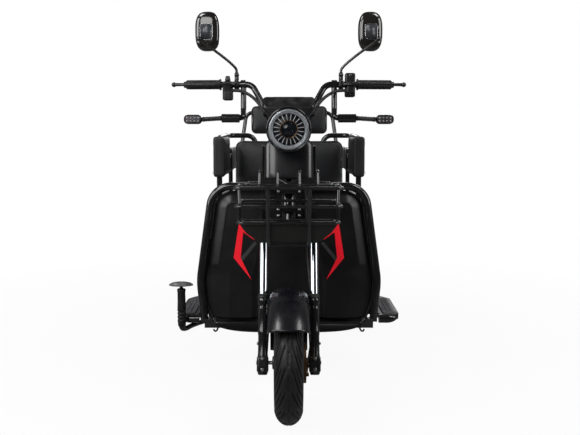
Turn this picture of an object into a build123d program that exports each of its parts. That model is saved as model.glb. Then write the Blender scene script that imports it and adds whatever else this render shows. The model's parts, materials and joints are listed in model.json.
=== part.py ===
from build123d import *
import os
from math import cos, radians, sin, tan

# Electric tricycle: one steered front wheel, two rear wheels, two seats, front rack.
# Millimetres, +Z up, the front faces -Y and +X is the vehicle's left.
# The origin is on the ground, at the middle of the length.

os.makedirs("parts", exist_ok=True)

# ---------------------------------------------------------------- driving dimensions
wheelbase = 1180
front_axle_y = -630
rear_axle_y = front_axle_y + wheelbase
rear_track = 650

wheel_radius = 192
tyre_width = 90
rim_radius = 112
rim_width = 76

touch_gap = 0.3  # between pieces that are screwed or pushed together
shaft_gap = 0.05  # radial, round a shaft or tube in its bore
move_gap = 6  # between pieces that move past each other

# ---------------------------------------------------------------- steering geometry
rake = 20  # of the steering axis, from the vertical
fork_offset = 35
leg_spacing = 165
slider_dia = 34
stanchion_dia = 29
slider_low = -38  # along the steering axis, from the axle
slider_high = 204
yoke_low = 402
yoke_thick = 30
head_low = yoke_low + yoke_thick + move_gap
head_length = 146
head_dia = 50
steerer_dia = 28

axis_y = front_axle_y + fork_offset * cos(radians(rake))
axis_z = wheel_radius - fork_offset * sin(radians(rake))
steer = Plane(
    origin=(0, axis_y, axis_z), x_dir=(1, 0, 0),
    z_dir=(0, sin(radians(rake)), cos(radians(rake))),
)


def steering_y(z):
    """Y of the steering axis at the height z."""
    return axis_y + (z - axis_z) * tan(radians(rake))


def along_steer(z):
    """Distance along the steering axis to the height z."""
    return (z - axis_z) / cos(radians(rake))


# ---------------------------------------------------------------- body dimensions
floor_top = 268
floor_thick = 20
floor_half = 300
footboard_half = 397
footboard_front = front_axle_y + 295
footboard_length = 315

shield_foot_y = footboard_front
shield_foot_z = 240
shield_lean = 5.1
guard_dia = 28
guard_half_top = 271
guard_half_wide = 316
guard_half_foot = 300
guard_wide_at = 152  # up the shield plane, from its foot
guard_height = 489
guard_bend = 76
shield_thick = 26
inner_shield_depth = 75

rail_x = 150
rail_width = 40
rail_height = 22
rear_rail_z = wheel_radius + 128

rear_body_half = rear_track / 2 + tyre_width / 2
rear_body_front = rear_axle_y - 172
rear_body_rear = rear_axle_y + 220
rear_body_top = 628
rear_body_bottom = 300

seat_base_rear = rear_body_front - 48
seat_base_front = seat_base_rear - 280
seat_base_half = 185
seat_base_top = 560
wall = 5

seat_half = 225
seat_rear = rear_body_front - 106
seat_front = seat_rear - 287
seat_pan_thick = 10
seat_thick = 78

back_lean = 4.4
back_half = 244
back_thick = 58
back_top = 886
back_height = 228

rail_top = floor_top - floor_thick - touch_gap
shield = Plane(
    origin=(0, shield_foot_y, shield_foot_z), x_dir=(1, 0, 0),
    z_dir=(0, -cos(radians(shield_lean)), sin(radians(shield_lean))),
)
sides = (-1, 1)


# ---------------------------------------------------------------- shared shapes
def rod(start, end, dia):
    """A straight round bar between two points."""
    run = Vector(*end) - Vector(*start)
    with BuildPart() as bar:
        with BuildSketch(Plane(origin=start, z_dir=run)):
            Circle(dia / 2)
        extrude(amount=run.length)
    return bar.part


def bent_tube(points, bend, dia):
    """A round bar along straight runs joined by arcs, one bend radius or one for each corner."""
    with BuildPart() as bar:
        with BuildLine() as route:
            FilletPolyline(*points, radius=bend)
        with BuildSketch(Plane(origin=route.line @ 0, z_dir=route.line % 0)):
            Circle(dia / 2)
        sweep(path=route.line)
    return bar.part


def mirrored(points):
    """The points of a right half and their mirror image, as one open run."""
    return [(-x, *rest) for x, *rest in points] + [(x, *rest) for x, *rest in reversed(points)]


def axle_plane(x, y):
    """Plane through a wheel's centre: local x along the axle, local y up."""
    return Plane(origin=(x, y, wheel_radius), x_dir=(1, 0, 0), z_dir=(0, -1, 0))


def axle_axis(x, y):
    return Axis((x, y, wheel_radius), (1, 0, 0))


def save(builder, name):
    """Label the finished sub-part and write its file."""
    builder.part.label = name
    export_step(builder.part, f"parts/{name}.step")


# ---------------------------------------------------------------- wheels
hub_dia = 46
hub_length = 92
drum_dia = 130
drum_width = 30
axle_dia = 12
rear_shaft_dia = 24


def tyre(x, y):
    """A tyre with a round crown and bulged walls."""
    half, bead = tyre_width / 2, rim_width / 2 - 2
    shoulder = wheel_radius - 15
    widest = (rim_radius + wheel_radius) / 2 - 2
    with BuildPart() as ring:
        with BuildSketch(axle_plane(x, y)):
            with BuildLine():
                ThreePointArc((-bead, rim_radius), (-half, widest), (-half + 7, shoulder))
                ThreePointArc((-half + 7, shoulder), (0, wheel_radius), (half - 7, shoulder))
                ThreePointArc((half - 7, shoulder), (half, widest), (bead, rim_radius))
                Line((bead, rim_radius), (-bead, rim_radius))
            make_face()
        revolve(axis=axle_axis(x, y))
    return ring


def rim(x, y, shaft_dia, drum_side):
    """A cast wheel: barrel, five spokes, hub and brake drum on one side."""
    outer = rim_radius - touch_gap
    barrel = 12
    with BuildPart() as wheel:
        with BuildSketch(axle_plane(x, y)):
            with Locations((0, outer - barrel / 2)):
                Rectangle(rim_width, barrel)
            with Locations((0, hub_dia / 4)):
                Rectangle(hub_length, hub_dia / 2)
            with Locations((drum_side * (hub_length / 2 - drum_width), drum_dia / 4)):
                Rectangle(drum_width, drum_dia / 2)
        revolve(axis=axle_axis(x, y))
        with BuildSketch(Plane(origin=(x, y, wheel_radius), x_dir=(0, 1, 0), z_dir=(1, 0, 0))):
            with PolarLocations((hub_dia / 2 + outer - barrel) / 2, 5, start_angle=90):
                Rectangle(outer - barrel - hub_dia / 2 + 8, 26)
        extrude(amount=14, both=True)
        with BuildSketch(Plane(origin=(x - hub_length, y, wheel_radius), z_dir=(1, 0, 0))):
            Circle(shaft_dia / 2 + shaft_gap)
        extrude(amount=2 * hub_length, mode=Mode.SUBTRACT)
    return wheel


save(tyre(0, front_axle_y), "front_tyre")
save(rim(0, front_axle_y, axle_dia, 1), "front_rim")
for side, word in ((1, "left"), (-1, "right")):
    save(tyre(side * rear_track / 2, rear_axle_y), f"rear_{word}_tyre")
    save(rim(side * rear_track / 2, rear_axle_y, rear_shaft_dia, -side), f"rear_{word}_rim")

# ---------------------------------------------------------------- fork
leg_x = leg_spacing / 2
with BuildPart() as fork_yoke:
    with BuildSketch(steer.offset(yoke_low)):
        Polygon(*mirrored([(leg_x + 8, -fork_offset - 22), (leg_x + 22, -fork_offset - 8),
                                (leg_x + 22, -fork_offset + 14), (34, 28)]), align=None)
    extrude(amount=yoke_thick)
    fillet(fork_yoke.edges().filter_by(Axis(steer.origin, steer.z_dir)), 6)
    with BuildSketch(steer.offset(yoke_low)):
        with Locations((-leg_x, -fork_offset), (leg_x, -fork_offset)):
            Circle(stanchion_dia / 2 + shaft_gap)
    extrude(amount=yoke_thick, mode=Mode.SUBTRACT)
    with BuildSketch(steer.offset(yoke_low)):
        Circle(steerer_dia / 2)
    extrude(amount=along_steer(972) - yoke_low)
save(fork_yoke, "fork_yoke")

with BuildPart() as fork_stanchions:
    for side in sides:
        with BuildSketch(steer.offset(slider_high - 60)):
            with Locations((side * leg_x, -fork_offset)):
                Circle(stanchion_dia / 2)
        extrude(amount=yoke_low + yoke_thick + 4 - slider_high + 60)
save(fork_stanchions, "fork_stanchions")

lug_width = 18
mudguard_half = 64
with BuildPart() as fork_sliders:
    for side in sides:
        with BuildSketch(steer.offset(slider_low)):
            with Locations((side * leg_x, -fork_offset)):
                Circle(slider_dia / 2)
        extrude(amount=slider_high - slider_low)
        with BuildSketch(steer.offset(slider_high - 14)):
            with Locations((side * leg_x, -fork_offset)):
                Circle(slider_dia / 2 + 1.2)
        extrude(amount=14)
        # flat lug that the mudguard is screwed to
        with Locations(steer * Location((side * (mudguard_half + touch_gap + lug_width / 2),
                                         -fork_offset, slider_high - 24))):
            Box(lug_width, 22, 44)
        with BuildSketch(steer.offset(slider_high - 60)):
            with Locations((side * leg_x, -fork_offset)):
                Circle(stanchion_dia / 2 + shaft_gap)
        extrude(amount=60, mode=Mode.SUBTRACT)
    with BuildSketch(Plane(origin=(-leg_spacing, front_axle_y, wheel_radius), z_dir=(1, 0, 0))):
        Circle(axle_dia / 2 + shaft_gap)
    extrude(amount=2 * leg_spacing, mode=Mode.SUBTRACT)
save(fork_sliders, "fork_sliders")

axle_half = 103
with BuildPart() as front_axle:
    with BuildSketch(Plane(origin=(-axle_half, front_axle_y, wheel_radius), z_dir=(1, 0, 0))):
        Circle(axle_dia / 2)
    extrude(amount=2 * axle_half)
    nut_face = leg_x + slider_dia / 2 + touch_gap
    for side in sides:
        with BuildSketch(Plane(origin=(side * nut_face, front_axle_y, wheel_radius),
                               z_dir=(side, 0, 0))):
            Circle(11)
        extrude(amount=axle_half - nut_face - 3)
save(front_axle, "front_axle")

# fixed plate of the front drum brake, its arm and the bracket that stops it turning
plate_inner = hub_length / 2 + 1
plate_outer = leg_x - slider_dia / 2 - 1
with BuildPart() as brake_plate:
    with BuildSketch(Plane(origin=(plate_inner, front_axle_y, wheel_radius), z_dir=(1, 0, 0))):
        Circle(drum_dia / 2 - 2)
        Circle(axle_dia / 2 + shaft_gap, mode=Mode.SUBTRACT)
    extrude(amount=8)
    with BuildSketch(Plane(origin=(plate_inner, front_axle_y, wheel_radius), z_dir=(1, 0, 0))):
        Circle(16)
        Circle(axle_dia / 2 + shaft_gap, mode=Mode.SUBTRACT)
    extrude(amount=plate_outer - plate_inner - 4)
    lever_x = plate_inner + 8
    lever_y, lever_z = front_axle_y + 42, wheel_radius - 26
    add(rod((lever_x - 4, lever_y, lever_z), (lever_x + 9, lever_y, lever_z), 14))
    with BuildSketch(Plane(origin=(lever_x + 3, lever_y, lever_z), x_dir=(0, 1, 0), z_dir=(1, 0, 0))):
        SlotCenterPoint((16, -10), (38, -24), 14)
    extrude(amount=5)
save(brake_plate, "brake_plate")

mudguard_radius = wheel_radius + 48
mudguard_wall = 4
mudguard_front = 50  # degrees forward of the top
mudguard_arc = 150
with BuildPart() as front_mudguard:
    low, high = mudguard_radius - 42, mudguard_radius
    lean = Plane(
        origin=(0, front_axle_y, wheel_radius), x_dir=(1, 0, 0),
        z_dir=(0, -cos(radians(mudguard_front)), -sin(radians(mudguard_front))),
    )
    with BuildSketch(lean):
        with BuildLine():
            Polyline((-mudguard_half, low), (-mudguard_half, high - 22))
            ThreePointArc((-mudguard_half, high - 22), (-46, high - 7), (-20, high))
            Line((-20, high), (20, high))
            ThreePointArc((20, high), (46, high - 7), (mudguard_half, high - 22))
            Polyline((mudguard_half, high - 22), (mudguard_half, low))
            Line((mudguard_half, low), (mudguard_half - mudguard_wall, low))
            Line((mudguard_half - mudguard_wall, low), (mudguard_half - mudguard_wall, high - 24))
            ThreePointArc((mudguard_half - mudguard_wall, high - 24),
                          (43, high - 11), (19, high - mudguard_wall))
            Line((19, high - mudguard_wall), (-19, high - mudguard_wall))
            ThreePointArc((-19, high - mudguard_wall), (-43, high - 11),
                          (-mudguard_half + mudguard_wall, high - 24))
            Line((-mudguard_half + mudguard_wall, high - 24), (-mudguard_half + mudguard_wall, low))
            Line((-mudguard_half + mudguard_wall, low), (-mudguard_half, low))
        make_face()
    revolve(axis=axle_axis(0, front_axle_y), revolution_arc=-mudguard_arc)
save(front_mudguard, "front_mudguard")

# ---------------------------------------------------------------- handlebar and its controls
bar_dia = 22
bar_top = 1085
bar_clamp_z = 985
grip_inner = 239
grip_outer = 364
grip_dia = 33
bar_y = steering_y(bar_top)
clamp_y = steering_y(bar_clamp_z)
bar_bends = [(372, bar_y + 18, bar_top), (130, bar_y, bar_top), (74, clamp_y, bar_clamp_z)]


def bar_point(x):
    """Centre of the straight outer part of the handlebar at the distance x."""
    end, bend = Vector(*bar_bends[0]), Vector(*bar_bends[1])
    share = (abs(x) - bend.X) / (end.X - bend.X)
    point = bend + (end - bend) * share
    return (x, point.Y, point.Z)


def bar_plane(side, x):
    """Plane across the handlebar on one side, its normal pointing outward."""
    run = Vector(*bar_bends[0]) - Vector(*bar_bends[1])
    return Plane(origin=bar_point(side * x), x_dir=(0, 0, 1), z_dir=(side * run.X, run.Y, run.Z))


def bar_clamp(side, x, length, dia):
    """A ring round the handlebar, fitted to its tube."""
    with BuildPart() as ring:
        with BuildSketch(bar_plane(side, x)):
            Circle(dia / 2)
        extrude(amount=length)
    return ring.part


def bar_bore(side):
    """The handlebar's outer run, a little larger than its tube, as a cutter."""
    with BuildPart() as bore:
        with BuildSketch(bar_plane(side, 140)):
            Circle(bar_dia / 2 + shaft_gap)
        extrude(amount=240)
    return bore.part


with BuildPart() as handlebar:
    add(bent_tube(mirrored(bar_bends), 36, bar_dia))
    # stem clamp on the steerer
    with Locations(Plane(origin=(0, clamp_y, bar_clamp_z - 6), x_dir=(1, 0, 0), z_dir=steer.z_dir)):
        Box(54, 44, 50)
    with BuildSketch(steer.offset(yoke_low)):
        Circle(steerer_dia / 2 + shaft_gap)
    extrude(amount=along_steer(972) - yoke_low + 1, mode=Mode.SUBTRACT)
save(handlebar, "handlebar")

with BuildPart() as grips:
    for side in sides:
        add(bar_clamp(side, grip_inner, grip_outer - grip_inner, grip_dia))
        add(bar_clamp(side, grip_inner, 5, grip_dia + 7))
        add(bar_bore(side), mode=Mode.SUBTRACT)
save(grips, "grips")

# switch boxes: the right one is stepped with a knob on top, the left one is tall
switch_x = 196
with BuildPart() as switch_boxes:
    x, y, z = bar_point(-switch_x - 20)
    with Locations((x, y, z - 22)):
        Box(36, 34, 66)
    with Locations((x + 2, y - 20, z - 40)):
        Box(28, 16, 34)
    add(rod((x, y, z + 8), (x, y, z + 30), 20))
    x, y, z = bar_point(switch_x + 20)
    with Locations((x, y, z - 2)):
        Box(36, 36, 84)
    with Locations((x, y - 21, z - 12)):
        Box(26, 14, 40)
    for side in sides:
        add(bar_bore(side), mode=Mode.SUBTRACT)
save(switch_boxes, "switch_boxes")

# brake levers: a clamp ring, an arm forward and a blade that ends in a ball
perch_x = 176
lever_ball = 17
lever_tip_x = 398
with BuildPart() as brake_levers:
    for side in sides:
        x, y, z = bar_point(side * perch_x)
        add(bar_clamp(side, perch_x, 16, bar_dia + 12))
        root = (side * (perch_x + 8), y - 6, z)
        knee = (side * (perch_x + 14), y - 46, z - 2)
        tip = (side * lever_tip_x, bar_point(lever_tip_x)[1] - 52, z - 3)
        add(bent_tube([root, knee, tip], 22, 12))
        with Locations(tip):
            Sphere(lever_ball / 2)
        # boss with the mirror's thread on top of the clamp
        add(rod((x + side * 8, y, z), (x + side * 8, y, z + 28), 16))
        add(bar_bore(side), mode=Mode.SUBTRACT)
save(brake_levers, "brake_levers")

# mirrors: stem up and out, oval shell that faces the rider, glass in the shell
mirror_width = 88
mirror_height = 138
mirror_x = 290
mirror_z = 1272
shell_thick = 26
stem_dia = 10
mirror_y = bar_point(perch_x)[1] + 26
with BuildPart() as mirror_stems:
    for side in sides:
        x, y, z = bar_point(side * (perch_x + 8))
        low = z + 28 + touch_gap
        add(rod((x, y, low), (x, y, low + 14), 17))
        add(bent_tube([(x, y, low + 6), (x + side * 2, y, low + 40),
                       (side * 314, mirror_y - 42, mirror_z - 31)], 20, stem_dia))
        add(rod((side * 314, mirror_y - 46, mirror_z - 30),
                (side * 314, mirror_y - 22.8, mirror_z - 30), 18))
save(mirror_stems, "mirror_stems")


def mirror_plane(side):
    """Plane on the back of a mirror shell, its normal toward the rider."""
    return Plane(origin=(side * mirror_x, mirror_y - 23, mirror_z), x_dir=(1, 0, 0),
                 z_dir=(-side * 0.12, 1, -0.04))


with BuildPart() as mirror_shells:
    for side in sides:
        with BuildSketch(mirror_plane(side)):
            RectangleRounded(mirror_width, mirror_height, 36)
        extrude(amount=shell_thick)
    fillet(mirror_shells.faces().filter_by(GeomType.PLANE).group_by(Axis.Y)[0].edges(), 9)
    for side in sides:
        with BuildSketch(mirror_plane(side).offset(shell_thick - 4)):
            RectangleRounded(mirror_width - 8, mirror_height - 8, 32)
        extrude(amount=4, mode=Mode.SUBTRACT)
save(mirror_shells, "mirror_shells")

with BuildPart() as mirror_glass:
    for side in sides:
        with BuildSketch(mirror_plane(side).offset(shell_thick - 4)):
            RectangleRounded(mirror_width - 9, mirror_height - 9, 31.5)
        extrude(amount=3)
save(mirror_glass, "mirror_glass")

# turn signals: a bracket tube down from the bar, a sleeve, a ribbed stalk and a lamp
signal_z = 966
signal_bracket_x = 160
signal_y = bar_y - 44
sleeve_outer = 234
lamp_inner = 302
lamp_outer = 366
lamp_height = 33
lamp_depth = 40
with BuildPart() as signal_brackets:
    for side in sides:
        x, y, z = bar_point(side * signal_bracket_x)
        add(bent_tube([(x, y, z), (x, y - 14, signal_z + 30), (x - side * 2, signal_y, signal_z + 2),
                       (side * sleeve_outer, signal_y, signal_z)], [18, 14], 20))
        add(rod((side * 172, signal_y, signal_z), (side * sleeve_outer, signal_y, signal_z), 30))
        add(bar_clamp(side, signal_bracket_x - 9, 18, bar_dia + 10))
        add(bar_bore(side), mode=Mode.SUBTRACT)
save(signal_brackets, "signal_brackets")

with BuildPart() as signal_stalks:
    for side in sides:
        add(rod((side * (sleeve_outer + 2 * touch_gap), signal_y, signal_z),
                (side * (lamp_inner - touch_gap), signal_y, signal_z - 4), 17))
save(signal_stalks, "signal_stalks")

with BuildPart() as turn_signals:
    for side in sides:
        with BuildSketch(Plane(origin=(side * (lamp_inner + lamp_outer) / 2,
                                       signal_y - lamp_depth / 2, signal_z - 4),
                               x_dir=(1, 0, 0), z_dir=(0, 1, 0))):
            SlotOverall(lamp_outer - lamp_inner, lamp_height)
        extrude(amount=lamp_depth)
    fillet(turn_signals.faces().filter_by(Axis.Y).edges(), 6)
save(turn_signals, "turn_signals")

# ---------------------------------------------------------------- headlamp, dash and column cover
lamp_y = front_axle_y + 130
lamp_z = 926
lamp_radius = 74
lens_radius = 66
lamp_length = 69
with BuildPart() as headlamp_housing:
    with BuildSketch(Plane(origin=(0, lamp_y, lamp_z), x_dir=(1, 0, 0), z_dir=(0, 1, 0))):
        Circle(lamp_radius)
    extrude(amount=lamp_length)
    fillet(headlamp_housing.edges().group_by(Axis.Y)[-1], 24)
    fillet(headlamp_housing.edges().group_by(Axis.Y)[0], 4)
    with BuildSketch(Plane(origin=(0, lamp_y - 1, lamp_z), x_dir=(1, 0, 0), z_dir=(0, 1, 0))):
        Circle(lens_radius + touch_gap)
    extrude(amount=24, mode=Mode.SUBTRACT)
save(headlamp_housing, "headlamp_housing")

with BuildPart() as headlamp_lens:
    with BuildSketch(Plane(origin=(0, lamp_y - 2, lamp_z), x_dir=(1, 0, 0), z_dir=(0, 1, 0))):
        Circle(lens_radius)
    extrude(amount=22)
    fillet(headlamp_lens.edges().group_by(Axis.Y)[0], 3)
save(headlamp_lens, "headlamp_lens")

dash_half = 88
dash_top = 1035
dash_bottom = 894
dash_front = lamp_y + lamp_length + touch_gap
dash_rear = clamp_y - 30
cover_half = 84
cover_top = dash_bottom - touch_gap
cover_bottom = 762
cover_front = lamp_y + 70
cover_rear = cover_front + 108
with BuildPart() as dash_shroud:
    with BuildSketch(Plane.YZ.offset(-dash_half)):
        Polygon((dash_front, dash_bottom), (dash_front, dash_top - 22), (dash_front + 18, dash_top),
                (dash_front + 40, dash_top), (dash_rear, dash_top - 60), (dash_rear, dash_bottom),
                align=None)
    extrude(amount=2 * dash_half)
    fillet(dash_shroud.edges().filter_by(GeomType.LINE).filter_by(
        lambda edge: abs(edge.center().X) > dash_half - 1), 8)
    with BuildSketch(steer.offset(yoke_low)):
        Circle(steerer_dia / 2 + touch_gap)
    extrude(amount=along_steer(dash_top), mode=Mode.SUBTRACT)
save(dash_shroud, "dash_shroud")

with BuildPart() as column_cover:
    with BuildSketch(Plane.XY.offset(cover_bottom)):
        with Locations((0, (cover_front + cover_rear) / 2)):
            RectangleRounded(2 * cover_half, cover_rear - cover_front, 24)
    extrude(amount=cover_top - cover_bottom)
    with BuildSketch(steer.offset(yoke_low)):
        Circle(steerer_dia / 2 + touch_gap)
    extrude(amount=along_steer(dash_top), mode=Mode.SUBTRACT)
save(column_cover, "column_cover")

# cable conduits: from each switch box in along the riser, into the rear of the dash shroud
conduit_dia = 12
with BuildPart() as cable_conduits:
    for side in sides:
        near = bar_point(side * switch_x)
        add(bent_tube([
            (side * (switch_x + 1.5), near[1] - 28, bar_top - 22),
            (side * 160, near[1] - 38, bar_top - 24),
            (side * 116, near[1] - 48, bar_top - 52),
            (side * 88, dash_rear + 6, bar_clamp_z + 7),
            (side * 66, dash_rear + 24, bar_clamp_z - 39),
            (side * 66, dash_rear + touch_gap, bar_clamp_z - 39),
        ], [40, 40, 24, 11], conduit_dia))
save(cable_conduits, "cable_conduits")

# ---------------------------------------------------------------- frame
neck_dia = 40
neck_back = -52  # behind the shield's plane
cross_front_y = shield_foot_y + 2


def shield_point(x, up, out=0):
    """A point given in the shield's plane and its distance in front of it."""
    return tuple(shield.from_local_coords(Vector(x, up, out)))


head_mid = steer.from_local_coords(Vector(0, 0, head_low + head_length * 0.45))
rear_rise_y = rear_body_front + 6
rear_end_y = rear_body_rear - 20
link_y, link_z = seat_base_rear + 8, wheel_radius + 4
shock_top = 467
shock_x = rear_track / 2 - 129
with BuildPart() as main_frame:
    with BuildSketch(steer.offset(head_low)):
        Circle(head_dia / 2)
    extrude(amount=head_length)
    add(bent_tube([tuple(head_mid), shield_point(0, 396, neck_back + 6),
                   shield_point(0, 330, neck_back), shield_point(0, -2, neck_back)], [30, 60], neck_dia))
    with BuildSketch(steer.offset(head_low - 1)):
        Circle(steerer_dia / 2 + 1)
    extrude(amount=head_length + 2, mode=Mode.SUBTRACT)
    rail_z = rail_top - rail_height / 2
    with Locations((0, cross_front_y, rail_z), (0, seat_base_front - 60, rail_z),
                   (0, seat_base_rear - 8, rail_z)):
        Box(2 * floor_half, 30, rail_height)
    with Locations((0, cross_front_y + 45, rail_z)):
        Box(2 * rail_x, 70, rail_height)
    for side in sides:
        with BuildSketch(Plane.YZ.offset(side * rail_x - rail_width / 2)):
            Polygon((cross_front_y, rail_top - rail_height), (cross_front_y, rail_top),
                     (rear_rise_y - 6, rail_top), (rear_rise_y + 60, rear_rail_z + rail_height),
                     (rear_end_y, rear_rail_z + rail_height), (rear_end_y, rear_rail_z),
                     (rear_rise_y + 70, rear_rail_z), (rear_rise_y + 6, rail_top - rail_height), align=None)
        extrude(amount=rail_width)
    with Locations((0, rear_axle_y - 90, rear_rail_z + rail_height / 2),
                   (0, rear_end_y - 12, rear_rail_z + rail_height / 2)):
        Box(2 * rail_x, 24, rail_height)
    # brackets for the trailing links, under the rails
    for side in sides:
        with Locations((side * rail_x, link_y - 15, (link_z - 18 + rail_top - 1) / 2)):
            Box(34, 30, rail_top - 1 - link_z + 18)
    # posts that carry the rear body and the upper ends of the shocks
    post_top = 560 - touch_gap
    for side in sides:
        with Locations((side * rail_x, rear_axle_y, (rear_rail_z + post_top) / 2),
                       (side * rail_x, rear_end_y - 15, (rear_rail_z + post_top) / 2)):
            Box(28, 28, post_top - rear_rail_z)
        shock_arm_end = shock_x + 14
        with Locations((side * (rail_x + shock_arm_end) / 2, rear_axle_y, shock_top + 13)):
            Box(shock_arm_end - rail_x, 28, 24)
save(main_frame, "main_frame")

guard_points = [(guard_half_foot, 0), (guard_half_wide, guard_wide_at), (guard_half_top, guard_height)]
with BuildPart() as guard_tube:
    corners = [shield_point(x, up) for x, up in mirrored(guard_points)]
    add(bent_tube(corners, [240, guard_bend, guard_bend, 240], guard_dia))
    for side in sides:
        with Locations((side * (guard_half_foot - 8), cross_front_y, rail_top + 5)):
            Box(44, 30, 10 - touch_gap)
    split(bisect_by=Plane.XY.offset(rail_top + touch_gap))
save(guard_tube, "guard_tube")

# ---------------------------------------------------------------- leg shield and its stripes
shield_inset = guard_dia / 2 + 0.8
shield_low = 19
shield_chamfer = 12
recess_half = 96
recess_deep = 12


def shield_outline(inset):
    """Right half of the panel's outline inside the guard tube, as points of the shield plane."""
    return [(guard_half_foot - inset - 34, shield_low),
            (guard_half_foot + (guard_half_wide - guard_half_foot) * 0.5 - inset, 74),
            (guard_half_wide - inset, guard_wide_at),
            (guard_half_top - inset, guard_height - inset)]


with BuildPart() as leg_shield:
    with BuildSketch(shield.offset(-shield_thick / 2)) as outline:
        Polygon(*mirrored(shield_outline(shield_inset)), align=None)
        fillet(outline.vertices().group_by(Axis.Z)[-1], guard_bend - guard_dia / 2 - 1)
    extrude(amount=shield_thick)
    front_edges = leg_shield.faces().sort_by(Axis(shield.origin, shield.z_dir))[-1].edges()
    chamfer(front_edges, shield_chamfer)
    # recess behind the fork, wider at the foot, and the hole for the frame's neck
    with BuildSketch(shield.offset(shield_thick / 2)):
        Polygon(*mirrored([(recess_half + 22, shield_low - 2), (recess_half, 150),
                                (recess_half - 24, 440)]), align=None)
    extrude(amount=-recess_deep, taper=12, mode=Mode.SUBTRACT)
    with BuildSketch(shield.offset(-shield_thick)):
        with Locations((0, 406)):
            RectangleRounded(neck_dia + 16, 90, 20)
    extrude(amount=2 * shield_thick, mode=Mode.SUBTRACT)
save(leg_shield, "leg_shield")

stripe_thick = 1.5
with BuildPart() as accent_stripes:
    for side in sides:
        with BuildSketch(shield.offset(shield_thick / 2 + 0.1)):
            Polygon((side * 176, 364), (side * 196, 235), (side * 133, 157), (side * 171, 235),
                     (side * 162, 326), (side * 122, 298), align=None)
        extrude(amount=stripe_thick)
save(accent_stripes, "accent_stripes")

with BuildPart() as inner_shield:
    inner_inset = shield_inset + 14
    with BuildSketch(shield.offset(-shield_thick / 2 - touch_gap)) as outline:
        Polygon(*mirrored([(floor_half - 24, 30), (guard_half_wide - inner_inset - 12, guard_wide_at),
                                (guard_half_top - inner_inset, guard_height - inner_inset)]), align=None)
        fillet(outline.vertices().group_by(Axis.Z)[-1], 40)
    extrude(amount=-inner_shield_depth)
    rear_edges = inner_shield.faces().sort_by(Axis(shield.origin, shield.z_dir))[0].edges()
    fillet(rear_edges, 10)
    with BuildSketch(shield.offset(-shield_thick / 2)):
        Polygon(*mirrored([(floor_half - 24 - wall, 29),
                           (guard_half_wide - inner_inset - 12 - wall, guard_wide_at),
                           (guard_half_top - inner_inset - wall - 3,
                            guard_height - inner_inset - wall - 8)]), align=None)
    extrude(amount=-inner_shield_depth + wall, mode=Mode.SUBTRACT)
save(inner_shield, "inner_shield")

# ---------------------------------------------------------------- front rack
rack_wire = 10
rack_front = front_axle_y - 60
rack_mid = front_axle_y + 58
rack_rear = front_axle_y + 168
# height, front, rear and half width of each wire loop, from the top down
rack_loops = [(750, rack_front, rack_mid, 162), (750, rack_mid, rack_rear, 140),
              (692, rack_front + 20, rack_rear - 8, 161), (640, rack_front + 40, rack_mid - 18, 157)]
upright_x = 63
bracket_x = 35
bracket_width = 16


def wire_loop(height, front, rear, half):
    """A closed level loop of wire, a little narrower at the rear."""
    with BuildPart() as wire:
        with BuildLine() as loop:
            FilletPolyline((half, front, height), (half - 4, rear, height), (-half + 4, rear, height),
                           (-half, front, height), radius=16, close=True)
        with BuildSketch(Plane(origin=loop.line @ 0, z_dir=loop.line % 0)):
            Circle(rack_wire / 2)
        sweep(path=loop.line)
    return wire.part


def rack_saddle(height):
    """A block from the rear uprights that clasps the front of the head tube."""
    front, rear = rack_rear - 3, steering_y(height)
    with BuildPart() as saddle:
        with Locations((0, (front + rear) / 2, height)):
            Box(2 * bracket_x + 10, rear - front, 15)
        with BuildSketch(steer.offset(head_low - 20)):
            Circle(head_dia / 2 + touch_gap)
        extrude(amount=head_length + 60, mode=Mode.SUBTRACT)
    return saddle.part


with BuildPart() as front_rack:
    for height, front, rear, half in rack_loops:
        add(wire_loop(height, front, rear, half))
    # flat uprights at the front, round ones behind, and the four end hoops
    low_z = 568
    for side in sides:
        add(bent_tube([(side * upright_x, rack_front + 2, 752), (side * upright_x, rack_front + 36, 634),
                       (side * upright_x, rack_front + 48, low_z + 2),
                       (side * upright_x, rack_front + 62, low_z)], [60, 5], rack_wire + 2))
        add(rod((side * 155, rack_mid - 28, 640), (side * 154, rack_mid - 22, 692), rack_wire))
        add(rod((side * 154, rack_mid - 22, 692), (side * 158, rack_mid, 750), rack_wire))
        with Locations((side * bracket_x, rack_rear - 3, 694)):
            Box(bracket_width, bracket_width - 3, 112)
        for x in (bracket_x, 93):
            add(bent_tube([(side * x, rack_mid, 748), (side * x, rack_mid + 30, 792),
                           (side * x, rack_rear - 14, 792), (side * x, rack_rear - 1, 747)], 14, rack_wire))
        add(rod((side * bracket_x, rack_mid + 15, 771), (0, rack_mid + 2, 752), rack_wire - 3))
    add(rod((-upright_x - 3, rack_front + 53, low_z + 1),
            (upright_x + 3, rack_front + 53, low_z + 1), rack_wire - 1))
    for height in (662, 722):
        add(rack_saddle(height))
save(front_rack, "front_rack")

tray_wall = 3
tray_top = 640 - rack_wire / 2 - 2 * touch_gap
tray_low = 576
tray_front, tray_rear = rack_front + 50, rack_mid - 22
with BuildPart() as rack_tray:
    with BuildSketch(Plane.XY.offset(tray_low)):
        with Locations((0, (tray_front + tray_rear) / 2 + 2)):
            RectangleRounded(184, tray_rear - tray_front - 14, 8)
    with BuildSketch(Plane.XY.offset(tray_top)):
        with Locations((0, (tray_front + tray_rear) / 2)):
            RectangleRounded(304, tray_rear - tray_front, 12)
    loft()
    offset(amount=-tray_wall, openings=rack_tray.faces().sort_by(Axis.Z)[-1])
save(rack_tray, "rack_tray")

# ---------------------------------------------------------------- floor
wing_end = footboard_front + footboard_length
floor_front = shield_foot_y + shield_thick / 2 + inner_shield_depth + 4
floor_rear = seat_base_rear + 2
guard_clear = guard_half_foot + guard_dia / 2 + 14


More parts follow.
